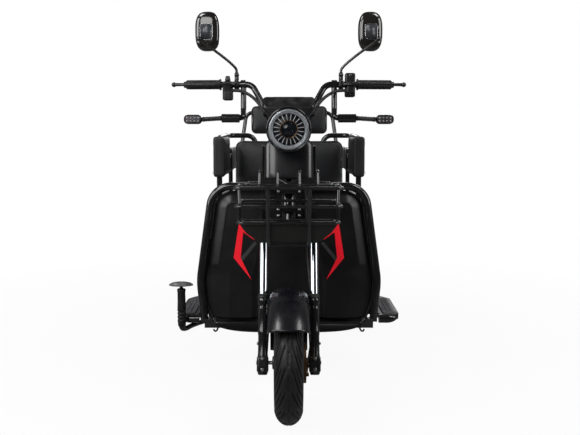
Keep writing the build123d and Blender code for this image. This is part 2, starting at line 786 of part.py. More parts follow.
def floor_outline(inset):
    """Right half of the floor's outline, with the footboard's cut corners."""
    return [(floor_half - inset, floor_rear - inset), (floor_half - inset, wing_end - inset),
            (footboard_half - 40 - inset, wing_end - inset), (footboard_half - inset, wing_end - 55),
            (footboard_half - inset, footboard_front + 16),
            (footboard_half - 14 - inset, footboard_front + inset),
            (guard_clear + inset, footboard_front + inset),
            (guard_clear + inset, footboard_front + 30),
            (guard_half_foot + inset, floor_front + inset)]


with BuildPart() as floor_pan:
    with BuildSketch(Plane.XY.offset(floor_top - floor_thick)):
        Polygon(*mirrored(floor_outline(0)), align=None)
    extrude(amount=floor_thick)
    # rolled lip under the front of each footboard
    for side in sides:
        with Locations((side * (guard_clear + footboard_half - 12) / 2, footboard_front + 8,
                        floor_top - 17)):
            Box(footboard_half - 12 - guard_clear, 16, 30)
save(floor_pan, "floor_pan")

mat_thick = 4
with BuildPart() as floor_mats:
    with BuildSketch(Plane.XY.offset(floor_top + touch_gap)):
        for side in sides:
            with Locations((side * (guard_clear + 8 + footboard_half - 10) / 2,
                            (footboard_front + wing_end) / 2 - 8)):
                RectangleRounded(footboard_half - guard_clear - 18, footboard_length - 56, 10)
        with Locations((0, (floor_front + seat_base_front) / 2 + 4)):
            RectangleRounded(2 * floor_half - 40, seat_base_front - floor_front - 30, 14)
    extrude(amount=mat_thick)
save(floor_mats, "floor_mats")

belly_low = 216
belly_half = 170
with BuildPart() as belly_pan:
    with BuildSketch(Plane.YZ.offset(-belly_half)):
        Polygon((cross_front_y - 20, belly_low + 28), (cross_front_y - 20, belly_low + 6),
                (cross_front_y + 12, belly_low), (seat_base_rear - 30, belly_low),
                (seat_base_rear - 30, rail_top - rail_height - touch_gap),
                (cross_front_y - 15 - touch_gap, rail_top - rail_height - touch_gap),
                (cross_front_y - 15 - touch_gap, belly_low + 28), align=None)
    extrude(amount=2 * belly_half)
save(belly_pan, "belly_pan")

pedal_x = -footboard_half + 18
pedal_y = footboard_front - 24
pedal_pad_z = 390
pedal_low = 224
with BuildPart() as brake_pedal:
    pivot_y = footboard_front + 109
    add(bent_tube([(-floor_half + 10, pivot_y + 4, pedal_low),
                   (pedal_x + 30, footboard_front + 35, pedal_low),
                   (pedal_x, pedal_y, pedal_low - 4), (pedal_x, pedal_y, pedal_pad_z - 6)], [30, 22], 18))
    add(rod((pedal_x, pedal_y, 240), (pedal_x, pedal_y, 328), 30))
    # pivot boss under the floor
    add(rod((-floor_half + 12, pivot_y, pedal_low - 4),
            (-floor_half + 12, pivot_y, floor_top - floor_thick - touch_gap), 24))
    with BuildSketch(Plane.XY.offset(pedal_pad_z - 8)):
        with Locations((pedal_x, pedal_y - 3)):
            Ellipse(43, 26)
    extrude(amount=15)
    fillet(brake_pedal.edges().group_by(Axis.Z)[-1], 5)
save(brake_pedal, "brake_pedal")

# ---------------------------------------------------------------- driver's seat
seat_base_low = floor_top + touch_gap
bay_half = 150
hinge_y = seat_base_front - 6
hinge_z = seat_base_top - 2
hinge_x = 110
hinge_pin_dia = 5
knuckle_dia = 11
knuckle_length = 22
seat_pan_low = seat_base_top + touch_gap
with BuildPart() as seat_base:
    with BuildSketch(Plane.XY.offset(seat_base_low)):
        with Locations((0, (seat_base_front + seat_base_rear) / 2)):
            RectangleRounded(2 * seat_base_half, seat_base_rear - seat_base_front, 22)
    extrude(amount=seat_base_top - seat_base_low)
    offset(amount=-wall, openings=seat_base.faces().sort_by(Axis.Z)[0])
    # battery bay mouth under the seat
    with BuildSketch(Plane.XY.offset(seat_base_top - wall - 1)):
        with Locations((0, (seat_base_front + 20 + seat_base_rear - 60) / 2)):
            RectangleRounded(2 * bay_half, seat_base_rear - seat_base_front - 80, 12)
    extrude(amount=wall + 2, mode=Mode.SUBTRACT)
    # hinge pins, each held at both ends by a knuckle on the front wall
    for side in sides:
        middle = side * hinge_x
        reach = knuckle_length / 2 + touch_gap
        add(rod((middle - reach, hinge_y, hinge_z), (middle + reach, hinge_y, hinge_z), hinge_pin_dia))
        for end in sides:
            inner, outer = middle + end * reach, middle + end * (reach + 14)
            add(rod((inner, hinge_y, hinge_z), (outer, hinge_y, hinge_z), knuckle_dia))
            with Locations(((inner + outer) / 2, (hinge_y + seat_base_front) / 2, hinge_z - 3)):
                Box(14, seat_base_front - hinge_y, 5)
save(seat_base, "seat_base")

battery_height = 170
with BuildPart() as battery_block:
    with Locations((0, (seat_base_front + seat_base_rear) / 2, seat_base_low + battery_height / 2)):
        Box(2 * bay_half - 10, seat_base_rear - seat_base_front - 70, battery_height)
save(battery_block, "battery_block")

with BuildPart() as seat_pan:
    with BuildSketch(Plane.XY.offset(seat_pan_low + 6)):
        with Locations((0, (seat_front + 20 + seat_rear - 10) / 2)):
            RectangleRounded(2 * seat_half - 40, seat_rear - seat_front - 30, 20)
    extrude(amount=seat_pan_thick - 6)
    # frame under the pan that rests on the base's rim, behind the hinge
    with BuildSketch(Plane.XY.offset(seat_pan_low)):
        with Locations((0, (seat_base_front + 14 + seat_base_rear - 64) / 2)):
            Rectangle(2 * bay_half + 40, seat_base_rear - seat_base_front - 74)
            Rectangle(2 * bay_half - 20, seat_base_rear - seat_base_front - 110, mode=Mode.SUBTRACT)
    extrude(amount=6.5)
    # hinge knuckles under the pan
    for side in sides:
        start, end = side * hinge_x - knuckle_length / 2, side * hinge_x + knuckle_length / 2
        add(rod((start, hinge_y, hinge_z), (end, hinge_y, hinge_z), knuckle_dia))
        with Locations((side * hinge_x, hinge_y, (hinge_z + seat_pan_low + 7) / 2)):
            Box(knuckle_length, 6, seat_pan_low + 7 - hinge_z)
        add(rod((start - 1, hinge_y, hinge_z), (end + 1, hinge_y, hinge_z),
                hinge_pin_dia + 2 * shaft_gap), mode=Mode.SUBTRACT)
save(seat_pan, "seat_pan")

seat_low = seat_pan_low + seat_pan_thick + touch_gap
with BuildPart() as driver_seat:
    with BuildSketch(Plane.XY.offset(seat_low)):
        with Locations((0, (seat_front + seat_rear) / 2)):
            RectangleRounded(2 * seat_half, seat_rear - seat_front, 40)
    extrude(amount=seat_thick)
    fillet(driver_seat.edges().group_by(Axis.Z)[-1], 22)
save(driver_seat, "driver_seat")

# ---------------------------------------------------------------- driver's backrest and armrests
post_x = 150
post_y = seat_base_rear + 24
arm_dia = 22
arm_x = 278
arm_top = 900
arm_front = seat_base_front - 28
back = Plane(origin=(0, post_y, seat_base_top), x_dir=(1, 0, 0),
             z_dir=(0, -cos(radians(back_lean)), sin(radians(back_lean))))
arm_low = 560


def arm_tube(side, dia):
    """The hoop from the rear post over the pad and down to the seat base."""
    x, y, z = tuple(back.from_local_coords(Vector(side * post_x, arm_top + 6 - seat_base_top, 0)))
    return bent_tube([(side * post_x, post_y - 1, 420), (x, y, z), (side * (arm_x - 6), y - 6, z),
                      (side * arm_x, arm_front, arm_top - 4), (side * arm_x, arm_front, arm_low),
                      (side * (seat_base_half + 12), arm_front + 92, arm_low - 60)],
                     [40, 36, 40, 30], dia)


with BuildPart() as armrest_frame:
    for side in sides:
        add(arm_tube(side, arm_dia))
        # plates that bolt the hoop to the seat base
        with Locations((side * (seat_base_half + touch_gap + 8), arm_front + 92, arm_low - 60)):
            Box(16, 50, 44)
        with Locations((side * post_x, (seat_base_rear + touch_gap + post_y - 2) / 2, 450)):
            Box(30, post_y - 2 - seat_base_rear - touch_gap, 50)
        # brace out to the corner of the rear body
        foot_x, foot_z = rear_body_half - 46, rear_body_top - 22
        add(rod((side * arm_x, arm_front + 2, 690), (side * foot_x, rear_body_front - 10, foot_z), 16))
        with Locations((side * foot_x, rear_body_front - touch_gap - 8, foot_z)):
            Box(30, 16, 34)
save(armrest_frame, "armrest_frame")

with BuildPart() as driver_backrest:
    with BuildSketch(back.offset(arm_dia / 2 + touch_gap)):
        with Locations((0, back_top - seat_base_top - back_height / 2)):
            RectangleRounded(2 * back_half, back_height, 38)
    extrude(amount=back_thick)
    fillet(driver_backrest.faces().sort_by(Axis.Y)[0].edges(), 20)
save(driver_backrest, "driver_backrest")

rear_arm_x = 266
rear_arm_z = 838
rear_arm_dia = 19
pad_dia_gap = 0.6
arm_pad_height = 162
rear_pad_height = 108
with BuildPart() as armrest_pads:
    for side in sides:
        with Locations((side * arm_x, arm_front + 110, arm_top + 2 - arm_pad_height / 2)):
            Box(54, 270, arm_pad_height)
        with Locations((side * rear_arm_x, rear_body_front + 180,
                        rear_arm_z + 14 - rear_pad_height / 2)):
            Box(28, 220, rear_pad_height)
    fillet(armrest_pads.edges().filter_by(Axis.Y), 10)
    for side in sides:
        add(arm_tube(side, arm_dia + pad_dia_gap), mode=Mode.SUBTRACT)
        add(rod((side * rear_arm_x, rear_body_front, rear_arm_z),
                (side * rear_arm_x, rear_body_rear - 70, rear_arm_z),
                rear_arm_dia + pad_dia_gap), mode=Mode.SUBTRACT)
save(armrest_pads, "armrest_pads")

# ---------------------------------------------------------------- rear body and rear seat
well_radius = wheel_radius + 26
well_inner = rear_track / 2 - tyre_width / 2 - 18
cavity_half = well_inner - 20
with BuildPart() as rear_body:
    with BuildSketch(Plane.XY.offset(rear_body_bottom)):
        with Locations((0, (rear_body_front + rear_body_rear) / 2)):
            RectangleRounded(2 * rear_body_half, rear_body_rear - rear_body_front, 40)
    extrude(amount=rear_body_top - rear_body_bottom)
    fillet(rear_body.edges().group_by(Axis.Z)[-1], 18)
    # wheel wells, open to the outside and below
    for side in sides:
        with BuildSketch(Plane(origin=(side * well_inner, rear_axle_y, wheel_radius), z_dir=(side, 0, 0))):
            Circle(well_radius)
        extrude(amount=rear_body_half, mode=Mode.SUBTRACT)
    # hollow over the frame and the axle
    with BuildSketch(Plane.XY.offset(rear_body_bottom - 1)):
        with Locations((0, (rear_body_front + rear_body_rear) / 2)):
            Rectangle(2 * cavity_half, rear_body_rear - rear_body_front - 3 * wall)
    extrude(amount=561 - rear_body_bottom, mode=Mode.SUBTRACT)
save(rear_body, "rear_body")

rear_seat_half = 235
rear_seat_front, rear_seat_rear = rear_body_front + 32, rear_body_rear - 80
rear_seat_thick = 82
with BuildPart() as rear_seat:
    with BuildSketch(Plane.XY.offset(rear_body_top + touch_gap)):
        with Locations((0, (rear_seat_front + rear_seat_rear) / 2)):
            RectangleRounded(2 * rear_seat_half, rear_seat_rear - rear_seat_front, 40)
    extrude(amount=rear_seat_thick)
    fillet(rear_seat.edges().group_by(Axis.Z)[-1], 24)
save(rear_seat, "rear_seat")

hoop_dia = 19
hoop_y = rear_body_rear - 42
hoop_lean_y = rear_body_rear
rear_pad_half = 193
rear_pad_low, rear_pad_top = 908, 1054
with BuildPart() as rear_hoop:
    add(bent_tube(mirrored([(250, hoop_y, rear_body_top + 3), (244, hoop_y + 8, 800),
                            (214, hoop_lean_y, 1018)]), [120, 38, 38, 120], hoop_dia))
    for side in sides:
        add(rod((side * 250, hoop_y, rear_body_top + touch_gap),
                (side * 250, hoop_y, rear_body_top + 6), 44))
        # rail for the passenger's arm
        add(bent_tube([(side * 240, hoop_y + 14, rear_arm_z), (side * rear_arm_x, hoop_y - 40, rear_arm_z),
                       (side * rear_arm_x, rear_body_front + 34, rear_arm_z),
                       (side * rear_arm_x, rear_body_front + 34, rear_body_top + touch_gap)],
                      [24, 36], rear_arm_dia))
    # strap plate behind the pad
    with Locations((0, hoop_lean_y - 6, 985)):
        Box(300, 4, 60)
    with Locations((-120, hoop_lean_y - 3, 1012), (120, hoop_lean_y - 3, 1012)):
        Box(24, 10, 16)
save(rear_hoop, "rear_hoop")

with BuildPart() as rear_backrest:
    with BuildSketch(Plane(origin=(0, hoop_lean_y - hoop_dia / 2 - touch_gap, 0), x_dir=(1, 0, 0),
                           z_dir=(0, -1, 0))):
        with Locations((0, (rear_pad_low + rear_pad_top) / 2)):
            RectangleRounded(2 * rear_pad_half, rear_pad_top - rear_pad_low, 30)
    extrude(amount=44)
    fillet(rear_backrest.faces().sort_by(Axis.Y)[0].edges(), 16)
save(rear_backrest, "rear_backrest")

tail_depth = 14
with BuildPart() as tail_lamps:
    for side in sides:
        with Locations((side * (rear_body_half - 80), rear_body_rear + touch_gap + tail_depth / 2, 500)):
            Box(64, tail_depth, 92)
    fillet(tail_lamps.edges().filter_by(Axis.Y), 8)
save(tail_lamps, "tail_lamps")

plate_z = 420
plate_thick = 6
plate_hole_dia = 6.5
plate_hole_x = 75
with BuildPart() as plate_holder:
    with Locations((0, rear_body_rear + touch_gap + plate_thick / 2, plate_z)):
        Box(190, plate_thick, 120)
    # housing of the plate lamp, along the upper edge
    with Locations((0, rear_body_rear + touch_gap + 9, plate_z + 64)):
        Box(70, 18, 18)
    with BuildSketch(Plane(origin=(0, rear_body_rear, plate_z + 30), x_dir=(1, 0, 0), z_dir=(0, 1, 0))):
        with Locations((-plate_hole_x, 0), (plate_hole_x, 0)):
            Circle(plate_hole_dia / 2)
    extrude(amount=2 * plate_thick, mode=Mode.SUBTRACT)
save(plate_holder, "plate_holder")

bumper_dia = 25
bumper_half = rear_body_half - 36
bumper_z = 280
with BuildPart() as rear_bumper:
    add(bent_tube(mirrored([(bumper_half, rear_body_rear - 6, bumper_z),
                            (bumper_half, rear_body_rear + 40, bumper_z)]), 36, bumper_dia))
    for side in sides:
        with Locations((side * rail_x, (rear_end_y + touch_gap + rear_body_rear + 40) / 2,
                        bumper_z + bumper_dia / 2 + 3.5)):
            Box(rail_width - 10, rear_body_rear + 40 - rear_end_y - touch_gap, 8)
        with Locations((side * rail_x, rear_end_y + touch_gap + 3, bumper_z + 35)):
            Box(rail_width - 4, 6, 46)
save(rear_bumper, "rear_bumper")

# ---------------------------------------------------------------- rear axle and suspension
beam_dia = 50
motor_dia = 150
motor_width = 150
beam_half = rear_track / 2 - hub_length / 2 - 12
with BuildPart() as rear_axle:
    for dia, half in ((beam_dia, beam_half), (motor_dia, motor_width / 2),
                      (rear_shaft_dia, rear_track / 2 + 61)):
        with BuildSketch(Plane(origin=(-half, rear_axle_y, wheel_radius), z_dir=(1, 0, 0))):
            Circle(dia / 2)
        extrude(amount=2 * half)
    # brake plates at the ends of the beam, wheel nuts outside the hubs
    for side in sides:
        with BuildSketch(Plane(origin=(side * (beam_half - 4), rear_axle_y, wheel_radius),
                               z_dir=(side, 0, 0))):
            Circle(drum_dia / 2)
        extrude(amount=8)
        nut_face = rear_track / 2 + hub_length / 2 + 1
        with BuildSketch(Plane(origin=(side * nut_face, rear_axle_y, wheel_radius), z_dir=(side, 0, 0))):
            Circle(20)
        extrude(amount=12)
        with Locations((side * shock_x, rear_axle_y - 16, wheel_radius + 20),
                       (side * rail_x, rear_axle_y - 34, wheel_radius - 10)):
            Box(30, 50, 34)
    # gearbox ahead of the motor
    with Locations((20, rear_axle_y - 80, wheel_radius)):
        Box(90, 90, 110)
save(rear_axle, "rear_axle")

with BuildPart() as rear_suspension:
    for side in sides:
        low = Vector(side * shock_x, rear_axle_y - 16, wheel_radius + 38)
        high = Vector(side * shock_x, rear_axle_y - 6, shock_top)
        add(rod(tuple(low), tuple(high), 20))
        add(rod(tuple(low + (high - low) * 0.12), tuple(low + (high - low) * 0.82), 46))
        # trailing link from the frame's rail
        add(rod((side * rail_x, rear_axle_y - 59 - 1.2, wheel_radius - 10),
                (side * rail_x, link_y + 1.2, link_z), 20))
save(rear_suspension, "rear_suspension")

# ---------------------------------------------------------------- front brake cable
cable_dia = 7
cable_seat_z = lever_z - 24 + 11  # the arm's upper edge, with the cable's pin above it
with BuildPart() as front_brake_cable:
    mid = steer.from_local_coords(Vector(56, 22, along_steer(cover_bottom) - 6))
    low = steer.from_local_coords(Vector(60, 22, yoke_low - 40))
    leg = steer.from_local_coords(Vector(leg_x - 6, -fork_offset + 29, 180))
    add(bent_tube([tuple(mid), tuple(low), tuple(leg),
                   (leg_x - 8, front_axle_y + 66, wheel_radius + 60),
                   (lever_x + 5.5, lever_y + 38, cable_seat_z)], [60, 60, 40], cable_dia))
save(front_brake_cable, "front_brake_cable")
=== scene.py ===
import json
import math

import bmesh
import bpy
import numpy as np
from mathutils import Matrix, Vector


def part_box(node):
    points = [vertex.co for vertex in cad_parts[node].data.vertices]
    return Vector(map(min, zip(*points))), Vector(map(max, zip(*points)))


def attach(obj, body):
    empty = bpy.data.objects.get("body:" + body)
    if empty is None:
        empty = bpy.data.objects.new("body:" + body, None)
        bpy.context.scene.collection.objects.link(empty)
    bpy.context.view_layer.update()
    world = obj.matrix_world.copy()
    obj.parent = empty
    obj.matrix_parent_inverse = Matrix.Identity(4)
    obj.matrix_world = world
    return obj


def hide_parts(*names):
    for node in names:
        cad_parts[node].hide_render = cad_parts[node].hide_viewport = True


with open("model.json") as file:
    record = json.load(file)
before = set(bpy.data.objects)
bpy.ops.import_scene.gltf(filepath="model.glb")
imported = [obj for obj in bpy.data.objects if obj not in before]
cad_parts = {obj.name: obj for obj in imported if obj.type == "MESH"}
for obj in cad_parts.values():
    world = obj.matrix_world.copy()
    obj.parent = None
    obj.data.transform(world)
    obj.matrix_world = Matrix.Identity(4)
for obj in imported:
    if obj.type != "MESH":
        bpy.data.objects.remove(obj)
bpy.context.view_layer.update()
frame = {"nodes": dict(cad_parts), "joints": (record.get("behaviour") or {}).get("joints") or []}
joint = {j["name"]: j for j in frame["joints"]}
axle = np.array(joint["front_wheel_spin"]["pos_m"])
rear_axle_left = np.array(joint["rear_left_wheel_spin"]["pos_m"])
steer_foot = np.array(joint["steering"]["pos_m"])
steer_up = np.array(joint["steering"]["axis"])
steer_up = steer_up / np.linalg.norm(steer_up)
steer_back = np.cross(steer_up, (1, 0, 0))
sides = (-1, 1)

# ---- Studio: a pale sweep of paper, a white room, two tall soft boxes and a top one.
# The camera stands low in front of the vehicle and looks slightly down at it.
camera_data = bpy.data.cameras.new("camera")
camera_data.sensor_width = 36
camera_data.lens = 43.4
camera = bpy.data.objects.new("camera", camera_data)
camera.location = (0.004, axle[1] - 2.145, 0.911)
camera.rotation_euler = (math.radians(90 - 6.8), 0, 0)
bpy.context.collection.objects.link(camera)
bpy.context.scene.camera = camera
bpy.context.scene.view_settings.view_transform = "Standard"


def soft_box(name, place, aim, width, height, watts):
    """A rectangular lamp that faces the point aim."""
    lamp = bpy.data.lights.new(name, "AREA")
    lamp.shape = "RECTANGLE"
    lamp.size = width
    lamp.size_y = height
    lamp.energy = watts
    holder = bpy.data.objects.new(name, lamp)
    away = np.array(place, float) - np.array(aim, float)
    away = away / np.linalg.norm(away)
    across = np.cross((0, 0, 1), away)
    across = across / np.linalg.norm(across)
    up = np.cross(away, across)
    turned = np.eye(4)
    turned[:3, 0], turned[:3, 1], turned[:3, 2], turned[:3, 3] = across, up, away, place
    holder.matrix_world = Matrix(turned.tolist())
    bpy.context.collection.objects.link(holder)


soft_box("left_soft_box", (-2.5, -1.5, 1.8), (0, -0.3, 0.7), 1.1, 1.5, 32)
soft_box("right_soft_box", (2.5, -1.5, 1.8), (0, -0.3, 0.7), 1.1, 1.5, 25)
soft_box("top_left_box", (-1.5, -1.3, 2.9), (0, -0.5, 0.6), 0.8, 0.8, 22)
soft_box("top_right_box", (1.5, -1.3, 2.9), (0, -0.5, 0.6), 0.8, 0.8, 18)
soft_box("front_fill", (-1.4, -3.2, 2.2), (0, -0.4, 0.6), 1.6, 1.4, 36)
soft_box("rear_soft_box", (0.6, 3.2, 1.9), (0, 0.5, 0.6), 2.4, 1.2, 24)


def new_shader(name):
    """An empty node material and its output node."""
    material = bpy.data.materials.new(name)
    material.use_nodes = True
    tree = material.node_tree
    tree.nodes.clear()
    output = tree.nodes.new("ShaderNodeOutputMaterial")
    return material, tree, output


def backdrop_world(brightness_behind, brightness_front):
    """White to the camera. Gloss sees a white wall behind the object and a dim studio in front of it."""
    world = bpy.data.worlds.new("studio")
    bpy.context.scene.world = world
    world.use_nodes = True
    tree = world.node_tree
    tree.nodes.clear()
    output = tree.nodes.new("ShaderNodeOutputWorld")
    seen = tree.nodes.new("ShaderNodeLightPath")
    toward = tree.nodes.new("ShaderNodeTexCoord")
    split = tree.nodes.new("ShaderNodeSeparateXYZ")
    tree.links.new(toward.outputs["Generated"], split.inputs[0])
    ramp = tree.nodes.new("ShaderNodeMapRange")
    ramp.inputs["From Min"].default_value = -0.25
    ramp.inputs["From Max"].default_value = 0.75
    ramp.inputs["To Min"].default_value = brightness_front
    ramp.inputs["To Max"].default_value = brightness_behind
    tree.links.new(split.outputs["Y"], ramp.inputs["Value"])
    room = tree.nodes.new("ShaderNodeBackground")
    tree.links.new(ramp.outputs[0], room.inputs["Strength"])
    white = tree.nodes.new("ShaderNodeBackground")
    white.inputs["Color"].default_value = (1, 1, 1, 1)
    direct = tree.nodes.new("ShaderNodeMath")
    direct.operation = "MAXIMUM"
    tree.links.new(seen.outputs["Is Camera Ray"], direct.inputs[0])
    tree.links.new(seen.outputs["Is Transmission Ray"], direct.inputs[1])
    mix = tree.nodes.new("ShaderNodeMixShader")
    tree.links.new(direct.outputs[0], mix.inputs[0])
    tree.links.new(room.outputs[0], mix.inputs[1])
    tree.links.new(white.outputs[0], mix.inputs[2])
    tree.links.new(mix.outputs[0], output.inputs[0])


backdrop_world(0.25, 0.03)


def paper_floor():
    """A wide sheet of pale paper at ground level; the camera sees mostly the white room through it."""
    half = 40.0
    corners = [(-half, -half, 0), (half, -half, 0), (half, half, 0), (-half, half, 0)]
    mesh = bpy.data.meshes.new("floor")
    mesh.from_pydata(corners, [], [(0, 1, 2, 3)])
    floor = bpy.data.objects.new("floor", mesh)
    bpy.context.collection.objects.link(floor)
    material, tree, output = new_shader("paper")
    paper = tree.nodes.new("ShaderNodeBsdfDiffuse")
    paper.inputs["Color"].default_value = (0.86, 0.86, 0.86, 1)
    clear = tree.nodes.new("ShaderNodeBsdfTransparent")
    seen = tree.nodes.new("ShaderNodeLightPath")
    where = tree.nodes.new("ShaderNodeTexCoord")
    away = tree.nodes.new("ShaderNodeVectorMath")
    away.operation = "LENGTH"
    tree.links.new(where.outputs["Object"], away.inputs[0])
    fade = tree.nodes.new("ShaderNodeMapRange")
    for slot_name, number in (("From Min", 0.9), ("From Max", 2.6), ("To Min", 0.93), ("To Max", 1.0)):
        fade.inputs[slot_name].default_value = number
    tree.links.new(away.outputs["Value"], fade.inputs["Value"])
    to_camera = tree.nodes.new("ShaderNodeMath")
    to_camera.operation = "MULTIPLY"
    tree.links.new(seen.outputs["Is Camera Ray"], to_camera.inputs[0])
    tree.links.new(fade.outputs[0], to_camera.inputs[1])
    share = tree.nodes.new("ShaderNodeMath")
    share.operation = "MULTIPLY_ADD"
    tree.links.new(seen.outputs["Is Glossy Ray"], share.inputs[0])
    share.inputs[1].default_value = 0.8
    tree.links.new(to_camera.outputs[0], share.inputs[2])
    mix = tree.nodes.new("ShaderNodeMixShader")
    tree.links.new(share.outputs[0], mix.inputs[0])
    tree.links.new(paper.outputs[0], mix.inputs[1])
    tree.links.new(clear.outputs[0], mix.inputs[2])
    tree.links.new(mix.outputs[0], output.inputs[0])
    mesh.materials.append(material)


paper_floor()


# ---- Frame tubes: round steel tube and box rails, welded, in stoved gloss black.
# The paint has a slight orange peel, a thin film of dust on top and a few dull patches.
def effect_group(name, inputs, outputs):
    """A shader node group with named inputs and outputs, and its two end nodes."""
    group = bpy.data.node_groups.new(name, "ShaderNodeTree")
    for label, kind, value in inputs:
        made = group.interface.new_socket(label, in_out="INPUT", socket_type=kind)
        made.default_value = value
    for label, kind in outputs:
        group.interface.new_socket(label, in_out="OUTPUT", socket_type=kind)
    return group, group.nodes.new("NodeGroupInput"), group.nodes.new("NodeGroupOutput")


def noise(tree, vector, scale, detail=3.0, rough=0.55):
    """A noise texture on the given coordinates."""
    node = tree.nodes.new("ShaderNodeTexNoise")
    node.inputs["Scale"].default_value = scale
    node.inputs["Detail"].default_value = detail
    node.inputs["Roughness"].default_value = rough
    tree.links.new(vector, node.inputs["Vector"])
    return node.outputs["Fac"]


def span(tree, value, low, high, to_low=0.0, to_high=1.0):
    """The value mapped from low..high to to_low..to_high, with smooth ends."""
    node = tree.nodes.new("ShaderNodeMapRange")
    node.interpolation_type = "SMOOTHSTEP"
    for slot_name, number in (("From Min", low), ("From Max", high), ("To Min", to_low), ("To Max", to_high)):
        node.inputs[slot_name].default_value = number
    tree.links.new(value, node.inputs["Value"])
    return node.outputs[0]


def product(tree, first, second):
    """Two values, or a value and a number, multiplied."""
    node = tree.nodes.new("ShaderNodeMath")
    node.operation = "MULTIPLY"
    tree.links.new(first, node.inputs[0])
    if isinstance(second, (int, float)):
        node.inputs[1].default_value = second
    else:
        tree.links.new(second, node.inputs[1])
    return node.outputs[0]


def dust_group():
    """Where dust lies: on faces that look up, broken into soft patches."""
    group, start, end = effect_group(
        "settled_dust", [("Vector", "NodeSocketVector", (0, 0, 0)), ("Amount", "NodeSocketFloat", 0.3)],
        [("Mask", "NodeSocketFloat")])
    facing = group.nodes.new("ShaderNodeNewGeometry")
    split = group.nodes.new("ShaderNodeSeparateXYZ")
    group.links.new(facing.outputs["Normal"], split.inputs[0])
    upward = span(group, split.outputs["Z"], 0.35, 1.0)
    patches = span(group, noise(group, start.outputs["Vector"], 34, 5), 0.38, 0.72)
    both = product(group, upward, patches)
    group.links.new(product(group, both, start.outputs["Amount"]), end.inputs["Mask"])
    return group


def patina_group():
    """Slow change of gloss over a surface, with fine wipe marks in it."""
    group, start, end = effect_group(
        "handling_marks", [("Vector", "NodeSocketVector", (0, 0, 0)), ("Base", "NodeSocketFloat", 0.2),
                           ("Spread", "NodeSocketFloat", 0.1)], [("Roughness", "NodeSocketFloat")])
    broad = noise(group, start.outputs["Vector"], 9, 3)
    fine = noise(group, start.outputs["Vector"], 95, 2)
    mixed = group.nodes.new("ShaderNodeMath")
    mixed.operation = "MULTIPLY_ADD"
    mixed.inputs[1].default_value = 0.35
    group.links.new(fine, mixed.inputs[0])
    group.links.new(broad, mixed.inputs[2])
    wide = span(group, mixed.outputs[0], 0.45, 0.95, -0.5, 0.5)
    added = group.nodes.new("ShaderNodeMath")
    added.operation = "ADD"
    group.links.new(product(group, wide, start.outputs["Spread"]), added.inputs[0])
    group.links.new(start.outputs["Base"], added.inputs[1])
    group.links.new(added.outputs[0], end.inputs["Roughness"])
    return group


def grain_group():
    """Height of a moulded grain: small rounded cells over a finer noise."""
    group, start, end = effect_group(
        "moulded_grain", [("Vector", "NodeSocketVector", (0, 0, 0)), ("Cells per metre", "NodeSocketFloat", 700.0)],
        [("Height", "NodeSocketFloat")])
    cells = group.nodes.new("ShaderNodeTexVoronoi")
    group.links.new(start.outputs["Vector"], cells.inputs["Vector"])
    group.links.new(start.outputs["Cells per metre"], cells.inputs["Scale"])
    fine = noise(group, start.outputs["Vector"], 1900, 2)
    total = group.nodes.new("ShaderNodeMath")
    total.operation = "MULTIPLY_ADD"
    total.inputs[1].default_value = 0.4
    group.links.new(fine, total.inputs[0])
    group.links.new(cells.outputs["Distance"], total.inputs[2])
    group.links.new(total.outputs[0], end.inputs["Height"])
    return group


effects = {"dust": dust_group(), "marks": patina_group(), "grain": grain_group()}


def use_effect(tree, name, vector, **values):
    """Places a shared effect in a material and sets its own values."""
    node = tree.nodes.new("ShaderNodeGroup")
    node.node_tree = effects[name]
    tree.links.new(vector, node.inputs["Vector"])
    for label, value in values.items():
        node.inputs[label.replace("_", " ")].default_value = value
    return node.outputs[0]


def coated(name, color, rough, spread=0.08, dust=0.25, coat=0.0, metallic=0.0, grain=0.0, cells=700.0,
           peel=0.0, dust_color=(0.2, 0.19, 0.18), shift=0.12, specular=0.5):
    """A solid finish: colour that drifts a little, marks in the gloss, dust on top, grain or orange peel in relief."""
    material, tree, output = new_shader(name)
    where = tree.nodes.new("ShaderNodeTexCoord").outputs["Object"]
    shader = tree.nodes.new("ShaderNodeBsdfPrincipled")
    shader.inputs["Metallic"].default_value = metallic
    shader.inputs["Specular IOR Level"].default_value = specular
    if coat:
        shader.inputs["Coat Weight"].default_value = coat
        shader.inputs["Coat Roughness"].default_value = 0.04
    tree.links.new(use_effect(tree, "marks", where, Base=rough, Spread=spread), shader.inputs["Roughness"])
    drift = tree.nodes.new("ShaderNodeMix")
    drift.data_type = "RGBA"
    drift.inputs["A"].default_value = (*[c * (1 - shift) for c in color], 1)
    drift.inputs["B"].default_value = (*[min(1, c * (1 + shift)) for c in color], 1)
    tree.links.new(span(tree, noise(tree, where, 14), 0.35, 0.65), drift.inputs["Factor"])
    dusty = tree.nodes.new("ShaderNodeMix")
    dusty.data_type = "RGBA"
    dusty.inputs["B"].default_value = (*dust_color, 1)
    tree.links.new(drift.outputs["Result"], dusty.inputs["A"])
    tree.links.new(use_effect(tree, "dust", where, Amount=dust), dusty.inputs["Factor"])
    tree.links.new(dusty.outputs["Result"], shader.inputs["Base Color"])
    if grain or peel:
        bump = tree.nodes.new("ShaderNodeBump")
        bump.inputs["Strength"].default_value = 1.0
        bump.inputs["Distance"].default_value = grain or peel
        height = use_effect(tree, "grain", where, Cells_per_metre=cells) if grain else noise(tree, where, 260, 1)
        tree.links.new(height, bump.inputs["Height"])
        tree.links.new(bump.outputs[0], shader.inputs["Normal"])
    tree.links.new(shader.outputs[0], output.inputs[0])
    return material


def dress(material, *nodes):
    """Gives CAD nodes their finish."""
    for node in nodes:
        slots = frame["nodes"][node].data.materials
        slots.clear()
        slots.append(material)


gloss_paint = coated("stoved_gloss_black", (0.008, 0.008, 0.009), 0.2, 0.08, 0.05, coat=0.6, peel=0.00008)
dress(gloss_paint, "main_frame", "guard_tube", "handlebar", "signal_brackets", "armrest_frame", "rear_hoop",
      "rear_bumper", "fork_yoke", "seat_base")


